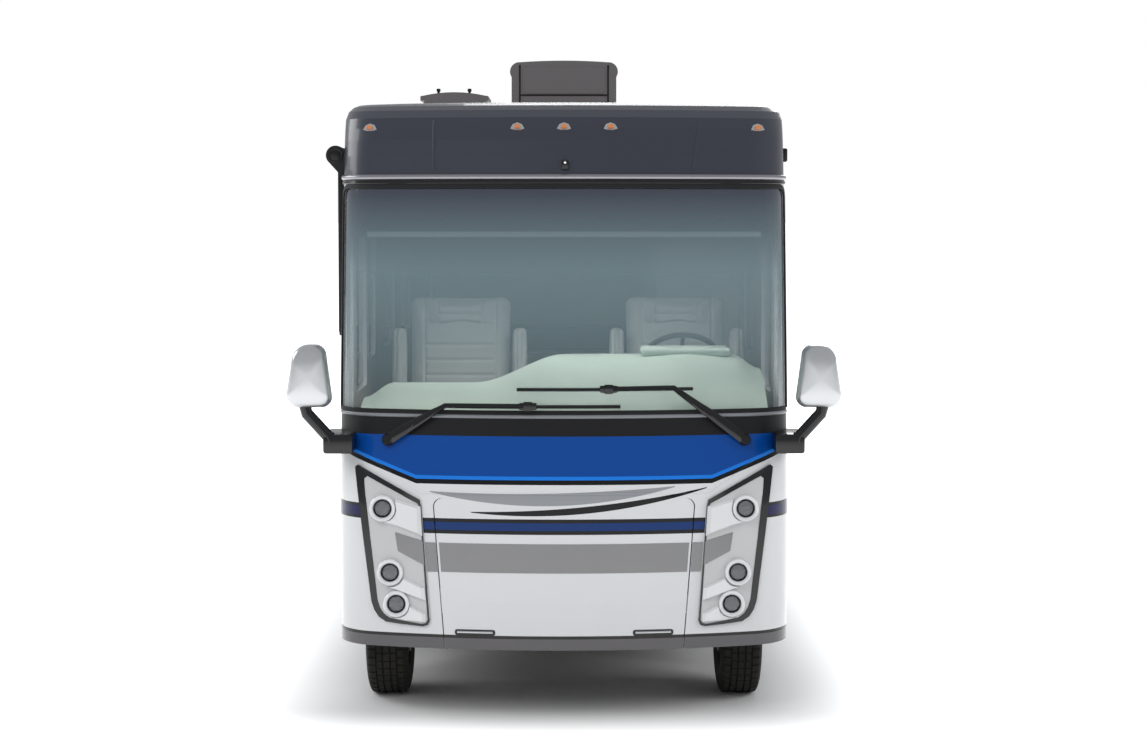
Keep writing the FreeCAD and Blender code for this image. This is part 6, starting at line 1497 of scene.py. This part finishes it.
def dash_section(x):
    """The dashboard's outline at a place across, as (distance behind the foremost plane, height) pairs."""
    high = 1.882 + 0.152 * smooth((x + 0.52) / 0.50) - 0.085 * smooth((abs(x) - 1.00) / (DASH_HALF - 1.00))
    back = 0.800 + 0.262 * smooth((x + 0.25) / 0.33)
    crest = back - 0.10
    foot = front_depth(x, 1.760) + 0.045
    bowl = math.exp(-((x - 0.715) / 0.20) ** 2)
    section = [(foot, 1.60), (foot, 1.735)]
    for step in range(1, 11):
        share = step / 10
        swell = 0.040 * bowl * math.sin(math.pi * share)
        section.append((foot + (crest - foot) * share,
                        1.745 + (high - 1.745) * math.sin(math.pi / 2 * share) + swell))
    return section + [(back - 0.030, high - 0.003), (back - 0.008, high - 0.014), (back, high - 0.036),
                      (back, 1.60)]


def dash_details():
    """The sculpted dashboard with its hood, dials and screen, and the pale strip on the cabinet's edge, which
    glows as painted light.
    """
    cover, hood, dials, faces, screen = (Build() for _ in range(5))
    cover.rings([[Vector((x, deep(y), z)) for y, z in dash_section(x)]
                 for x in (-DASH_HALF + 2 * DASH_HALF * step / 72 for step in range(73))])
    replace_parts(cover.piece("dash_cover", "dash", "coach", 50.0), "dashboard")
    hood.block((0.455, deep(0.80), 2.030), (0.985, deep(1.058), 2.080), 0.022, 4)
    hood.block((0.470, deep(0.90), 1.990), (0.970, deep(1.066), 2.045), 0.012, 3)
    for x, size in ((0.600, 0.052), (0.715, 0.040), (0.830, 0.052)):
        place = (x, deep(1.070), 1.945)
        faces.lathe(place, (0, 1, 0), [(0.0, -0.01), (size - 0.004, -0.01), (size - 0.004, 0.0015),
                                       (0.0, 0.0015)], 40)
        dials.lathe(place, (0, 1, 0), [(size - 0.004, -0.011), (size - 0.004, 0.004), (size, 0.005),
                                       (size + 0.003, 0.003), (size + 0.003, -0.011)], 40, closed=True)
        for mark in range(9):
            turn = math.radians(-120 + mark * 30)
            tip = Vector((math.sin(turn), 0.0, math.cos(turn)))
            here = Vector(place) + Vector((0, 0.0016, 0))
            dials.sweep([(here + tip * (size - 0.016), Vector((0, 1, 0))),
                         (here + tip * (size - 0.008), Vector((0, 1, 0)))],
                        [(-0.001, 0.0), (0.001, 0.0), (0.001, 0.0008), (-0.001, 0.0008)])
    screen.block((0.150, deep(1.055), 1.865), (0.390, deep(1.073), 1.995), 0.006, 3)
    for index in range(5):
        x = 0.165 + index * 0.053
        screen.block((x, deep(1.055), 1.825), (x + 0.036, deep(1.071), 1.845), 0.003)
    hood.piece("instrument_hood", "dash", "coach")
    faces.piece("dial_faces", "dial", "coach")
    dials.piece("dial_rings", "chrome", "coach")
    screen.piece("dash_screen", "dial", "coach")
    # The strip on the cabinet's edge glows with the edging's painted light.
    strip = Build()
    path = []
    for step in range(25):
        x = -1.13 + 2.26 * step / 24
        y = max(deep(0.43), on_front(x, EDGE_HIGH, -0.046).y) - 0.001
        path.append((Vector((x, y, EDGE_HIGH)), Vector((0, -1, 0))))
    strip.sweep(path, flat_section(0.030, 0.005, 0.003))
    strip.piece("cabinet_edge_painted_glow", "edging", "coach")


def wheel_details():
    """The steering wheel's centre pad and stitched grip, and the shroud round its column."""
    pad, stitches, shroud = Build(), Build(), Build()
    pad.lathe(WHEEL_PLACE, WHEEL_AXIS, [(0.0, -0.050), (0.060, -0.050), (0.078, -0.030), (0.084, -0.004),
                                        (0.078, 0.012), (0.055, 0.022), (0.0, 0.026)], 40)
    pad.piece("steering_pad", "dash_dark", "steering_wheel")
    side = WHEEL_AXIS.orthogonal().normalized()
    other = WHEEL_AXIS.cross(side)
    for step in range(48):
        turn = math.tau * step / 48
        way = side * math.cos(turn) + other * math.sin(turn)
        ring = []
        for part in range(9):
            lean = math.radians(95 + 170 * part / 8)
            outward = way * math.cos(lean) + WHEEL_AXIS * math.sin(lean)
            ring.append((WHEEL_PLACE + way * GRIP_RING + outward * GRIP_RADIUS, outward))
        stitches.sweep(ring, flat_section(0.003, 0.0012, 0.001))
    stitches.piece("grip_stitches", "leather", "steering_wheel")
    shroud.lathe(WHEEL_PLACE, -WHEEL_AXIS, [(0.0, 0.056), (0.042, 0.056), (0.048, 0.066), (0.056, 0.20),
                                            (0.060, 0.30), (0.0, 0.30)], 32)
    for sign in (1, -1):
        stalk = [WHEEL_PLACE - WHEEL_AXIS * 0.10 + Vector((sign * along, 0.0, along * 0.12))
                 for along in (0.04, 0.12, 0.19)]
        shroud.sweep([(point, Vector((0, 1, 0))) for point in stalk], round_section(0.009, 12))
    shroud.piece("column_shroud", "dash_dark", "coach")


# Seats

SEAT_PLACES = {"driver": 0.710, "mate": -0.656}
SEAT_HALF, SEAT_LEAN = 0.280, 0.110
PAD_REACH, PAD_GROWTH, PAD_FILL = 0.024, 0.014, 0.8
PAD_PRESSURE, SWELL_FRAMES = 4.0, 20
ARM_APART = 0.378


def pad_shape(low, high, bevel, voxel):
    """A remeshed rounded box, as an object to swell."""
    shape = eased_box(low, high, bevel, 4)
    mesh = bpy.data.meshes.new("pad")
    shape.to_mesh(mesh)
    shape.free()
    thing = add_object("pad", mesh)
    remesh = thing.modifiers.new("remesh", "REMESH")
    remesh.mode = "VOXEL"
    remesh.voxel_size = voxel
    settle(thing)
    return thing


def settle(thing):
    """Applies an object's modifiers to its mesh."""
    graph = bpy.context.evaluated_depsgraph_get()
    mesh = bpy.data.meshes.new_from_object(thing.evaluated_get(graph))
    thing.modifiers.clear()
    thing.data = mesh


def swell(thing):
    """Blows a pad up as cloth, and keeps each point within reach of where it was."""
    before = [vertex.co.copy() for vertex in thing.data.vertices]
    cloth = thing.modifiers.new("cloth", "CLOTH")
    cloth.settings.use_pressure = True
    cloth.settings.uniform_pressure_force = PAD_PRESSURE
    cloth.settings.effector_weights.gravity = 0.0
    cloth.settings.quality = 4
    for step in range(1, SWELL_FRAMES + 1):
        bpy.context.scene.frame_set(step)
    settle(thing)
    bpy.context.scene.frame_set(1)
    for vertex, start in zip(thing.data.vertices, before):
        way = vertex.co - start
        if way.length > PAD_REACH:
            vertex.co = start + way * (PAD_REACH / way.length)


def sew(thing, axis, lines, border, face, wide=0.009, sunk=0.010):
    """Presses sewn channels across one face of a pad, and a seam near its two sides."""
    for vertex, normal in [(vertex, vertex.normal.copy()) for vertex in thing.data.vertices]:
        if normal.dot(face) < 0.25:
            continue
        press = max((math.exp(-((vertex.co[axis] - line) / wide) ** 2) for line in lines), default=0.0)
        if abs(vertex.co.x) > border:
            press = 0.0
        press = max(press, math.exp(-((abs(vertex.co.x) - border) / (wide * 0.8)) ** 2))
        vertex.co -= normal * (sunk * press)


def make_pad(low, high, bevel, voxel, axis, lines, border, face, lean=0.0):
    """One finished pad of a seat, as a mesh about the seat's middle."""
    thing = pad_shape(low, high, bevel, voxel)
    swell(thing)
    finer = thing.modifiers.new("finer", "SUBSURF")
    finer.levels = finer.render_levels = 1
    settle(thing)
    sew(thing, axis, lines, border, Vector(face))
    foot = low[2]
    for vertex in thing.data.vertices:
        vertex.co.y += (vertex.co.z - foot) * lean
    mesh = thing.data
    bpy.data.objects.remove(thing)
    mesh.materials.clear()
    mesh.materials.append(MATERIALS["leather"])
    for polygon in mesh.polygons:
        polygon.use_smooth = True
    return mesh


def seat_part(name, mesh, x):
    """A copy of a pad in its place."""
    shape = mesh.copy()
    for vertex in shape.vertices:
        vertex.co.x += x
    thing = add_object(name, shape)
    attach(thing, "coach")


def cab_seats():
    """The two cab seats: padded cushion, tall back, head pad and folded arms on a moulded base."""
    grow = PAD_GROWTH
    cushion = make_pad((-SEAT_HALF + grow, deep(1.33) + grow, 1.410 + grow),
                       (SEAT_HALF - grow, deep(1.88), 1.565 - grow), 0.055, 0.012, 1,
                       [deep(1.45 + 0.085 * step) for step in range(4)], 0.200, (0, 0, 1))
    back = make_pad((-0.350 + grow, deep(1.74) + grow, 1.53), (0.350 - grow, deep(1.88) - grow, 2.372 - grow),
                    0.064, 0.012, 2, [1.66 + 0.095 * step for step in range(5)], 0.225, (0, -1, 0), SEAT_LEAN)
    head = make_pad((-0.235, deep(1.800), 2.145), (0.235, deep(1.880) - grow, 2.335), 0.036, 0.012, 2, [2.235],
                    0.140, (0, -1, 0), SEAT_LEAN)
    arm = make_pad((-0.042, deep(1.640), 1.72), (0.042, deep(1.735), 2.150), 0.030, 0.009, 2, [1.80], 0.022,
                   (0, -1, 0), SEAT_LEAN)
    bases = Build()
    for name, x in SEAT_PLACES.items():
        seat_part(f"{name}_cushion", cushion, x)
        seat_part(f"{name}_back", back, x)
        seat_part(f"{name}_head_pad", head, x)
        for label, sign in SIDES:
            seat_part(f"{name}_{label}_arm", arm, x + sign * ARM_APART)
            low, high = sorted((x + sign * 0.250, x + sign * 0.385))
            bases.block((low, deep(1.690), 1.735), (high, deep(1.800), 1.765), 0.008)
        bases.block((x - 0.150, deep(1.455), 1.0805), (x + 0.150, deep(1.755), 1.335), 0.020, 3)
        bases.block((x - 0.190, deep(1.42), 1.0805), (x + 0.190, deep(1.79), 1.110), 0.008)
        bases.block((x - 0.235, deep(1.37), 1.330), (x + 0.235, deep(1.86), 1.425), 0.018, 3)
        bases.block((x - 0.240, deep(1.865), 1.50), (x + 0.240, deep(1.90), 1.62), 0.012, 3)
    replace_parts(bases.piece("seat_bases", "leather_dark", "coach"), "front_seats")


# Studio

CAMERA_BACK, CAMERA_HIGH = 12.4309, 2.8758
CAMERA_PITCH, CAMERA_YAW, CAMERA_SHIFT = 0.0573, 0.0040, -0.03
FOCAL_PIXELS, PHOTO_WIDE = 2250.1, 1146
SENSOR = 36.0
FLOOR_HALF, FLOOR_FAR = 300, 600
COACH_HALF, SHADOW_REACH = (1.15, 4.35), 1.3


def place_camera():
    """The camera at the photo's place, pitched down a little."""
    camera = bpy.data.cameras.new("camera")
    camera.sensor_width = SENSOR
    camera.lens = FOCAL_PIXELS / PHOTO_WIDE * SENSOR
    camera.shift_y = CAMERA_SHIFT
    thing = add_object("camera", camera)
    thing.location = (0.0, FRONT_Y - CAMERA_BACK, CAMERA_HIGH)
    thing.rotation_euler = (math.pi / 2 - CAMERA_PITCH, 0.0, -CAMERA_YAW)
    bpy.context.scene.camera = thing


def soft_lamp(name, place, target, size, power, shows=True):
    """A large soft lamp aimed at a point, which may be left out of reflections."""
    light = bpy.data.lights.new(name, "AREA")
    light.shape = "RECTANGLE"
    light.size, light.size_y = size
    light.energy = power
    thing = add_object(name, light)
    thing.location = place
    thing.rotation_euler = (Vector(target) - Vector(place)).to_track_quat("-Z", "Y").to_euler()
    thing.visible_camera = thing.visible_transmission = False
    thing.visible_glossy = shows


def seen_rays(tree):
    """1 for rays from the camera and for those bent or bounced by gloss and glass."""
    rays = add_node(tree, "ShaderNodeLightPath")
    first = combine(tree, "MAXIMUM", rays.outputs["Is Camera Ray"], rays.outputs["Is Glossy Ray"])
    return combine(tree, "MAXIMUM", first, rays.outputs["Is Transmission Ray"])


def make_floor():
    """A pale floor that keeps the coach's shadow and turns white away from the coach; near the coach it stays
    darker, a painted shade round the coach's foot.
    """
    mesh = bpy.data.meshes.new("studio_floor")
    mesh.from_pydata([(-FLOOR_HALF, -FLOOR_HALF, 0), (FLOOR_HALF, -FLOOR_HALF, 0), (FLOOR_HALF, FLOOR_FAR, 0),
                      (-FLOOR_HALF, FLOOR_FAR, 0)], [], [(0, 1, 2, 3)])
    floor = add_object("studio_floor", mesh)
    material, tree, shader = start_material("studio floor")
    shader.inputs["Base Color"].default_value = (0.90, 0.90, 0.90, 1.0)
    shader.inputs["Roughness"].default_value = 0.9
    shader.inputs["Specular IOR Level"].default_value = 0.0
    shader.inputs["Emission Color"].default_value = (1.0, 1.0, 1.0, 1.0)
    # Within a reach of the coach's footprint the floor's white lift fades out, painting shade round its foot on
    # top of its cast shadow.
    beside = [combine(tree, "MAXIMUM", combine(tree, "SUBTRACT", combine(tree, "ABSOLUTE", value, 0.0), half),
                      0.0) for value, half in zip(coach_place(tree), COACH_HALF)]
    squares = combine(tree, "MULTIPLY_ADD", beside[0], beside[0],
                      combine(tree, "MULTIPLY", beside[1], beside[1]))
    away = combine(tree, "SQRT", squares, 0.0)
    painted_shade_fade = add_node(tree, "ShaderNodeMapRange", From_Min=0.0, From_Max=SHADOW_REACH, To_Min=0.0, To_Max=1.0,
                    interpolation_type="SMOOTHSTEP")
    tree.links.new(away, painted_shade_fade.inputs["Value"])
    lift = combine(tree, "MULTIPLY", seen_rays(tree), painted_shade_fade.outputs[0])
    tree.links.new(lift, shader.inputs["Emission Strength"])
    mesh.materials.append(material)


def make_studio():
    """The floor, a white surround and soft lamps."""
    make_floor()
    world = bpy.data.worlds.new("studio")
    world.use_nodes = True
    bpy.context.scene.world = world
    tree = world.node_tree
    around = tree.nodes["Background"]
    around.inputs["Color"].default_value = (0.95, 0.97, 1.0, 1.0)
    around.inputs["Strength"].default_value = 0.50
    shown = add_node(tree, "ShaderNodeBackground", Color=(1.0, 1.0, 1.0, 1.0), Strength=1.0)
    choice = add_node(tree, "ShaderNodeMixShader")
    tree.links.new(add_node(tree, "ShaderNodeLightPath").outputs["Is Camera Ray"], choice.inputs[0])
    tree.links.new(around.outputs[0], choice.inputs[1])
    tree.links.new(shown.outputs[0], choice.inputs[2])
    tree.links.new(choice.outputs[0], tree.nodes["World Output"].inputs["Surface"])
    soft_lamp("front lamp", (-5.0, -14.0, 9.0), (0.0, -4.5, 1.6), (9.0, 6.0), 580.0, shows=False)
    soft_lamp("side lamp", (13.0, -6.0, 8.0), (0.0, 0.0, 1.5), (10.0, 6.0), 600.0, shows=False)
    soft_lamp("kerb lamp", (-13.0, 2.0, 8.0), (0.0, 0.0, 1.5), (10.0, 6.0), 620.0)
    soft_lamp("rear lamp", (3.0, 15.0, 9.0), (0.0, 4.0, 1.5), (9.0, 6.0), 600.0)
    soft_lamp("top lamp", (0.0, 3.0, 12.0), (0.0, 1.0, 3.0), (8.0, 10.0), 380.0, shows=False)
    soft_lamp("cab lamp", (0.0, deep(0.72), 2.70), (0.0, deep(1.15), 1.7), (2.0, 0.25), 20.0, shows=False)


dress_nodes()
shield_surround()
silver_band()
pod_edges()
lamp_units()
brow_lamps()
hatch_details()
wiper_blades()
mirror_heads()
side_windows()
slide_details()
bay_latches()
entry_details()
arch_lips()
side_fittings()
awning_details()
roof_details()
tail_details()
wheels()
under_details()
dash_details()
wheel_details()
cab_seats()
make_studio()
place_camera()
bpy.context.scene.view_settings.view_transform = "Standard"
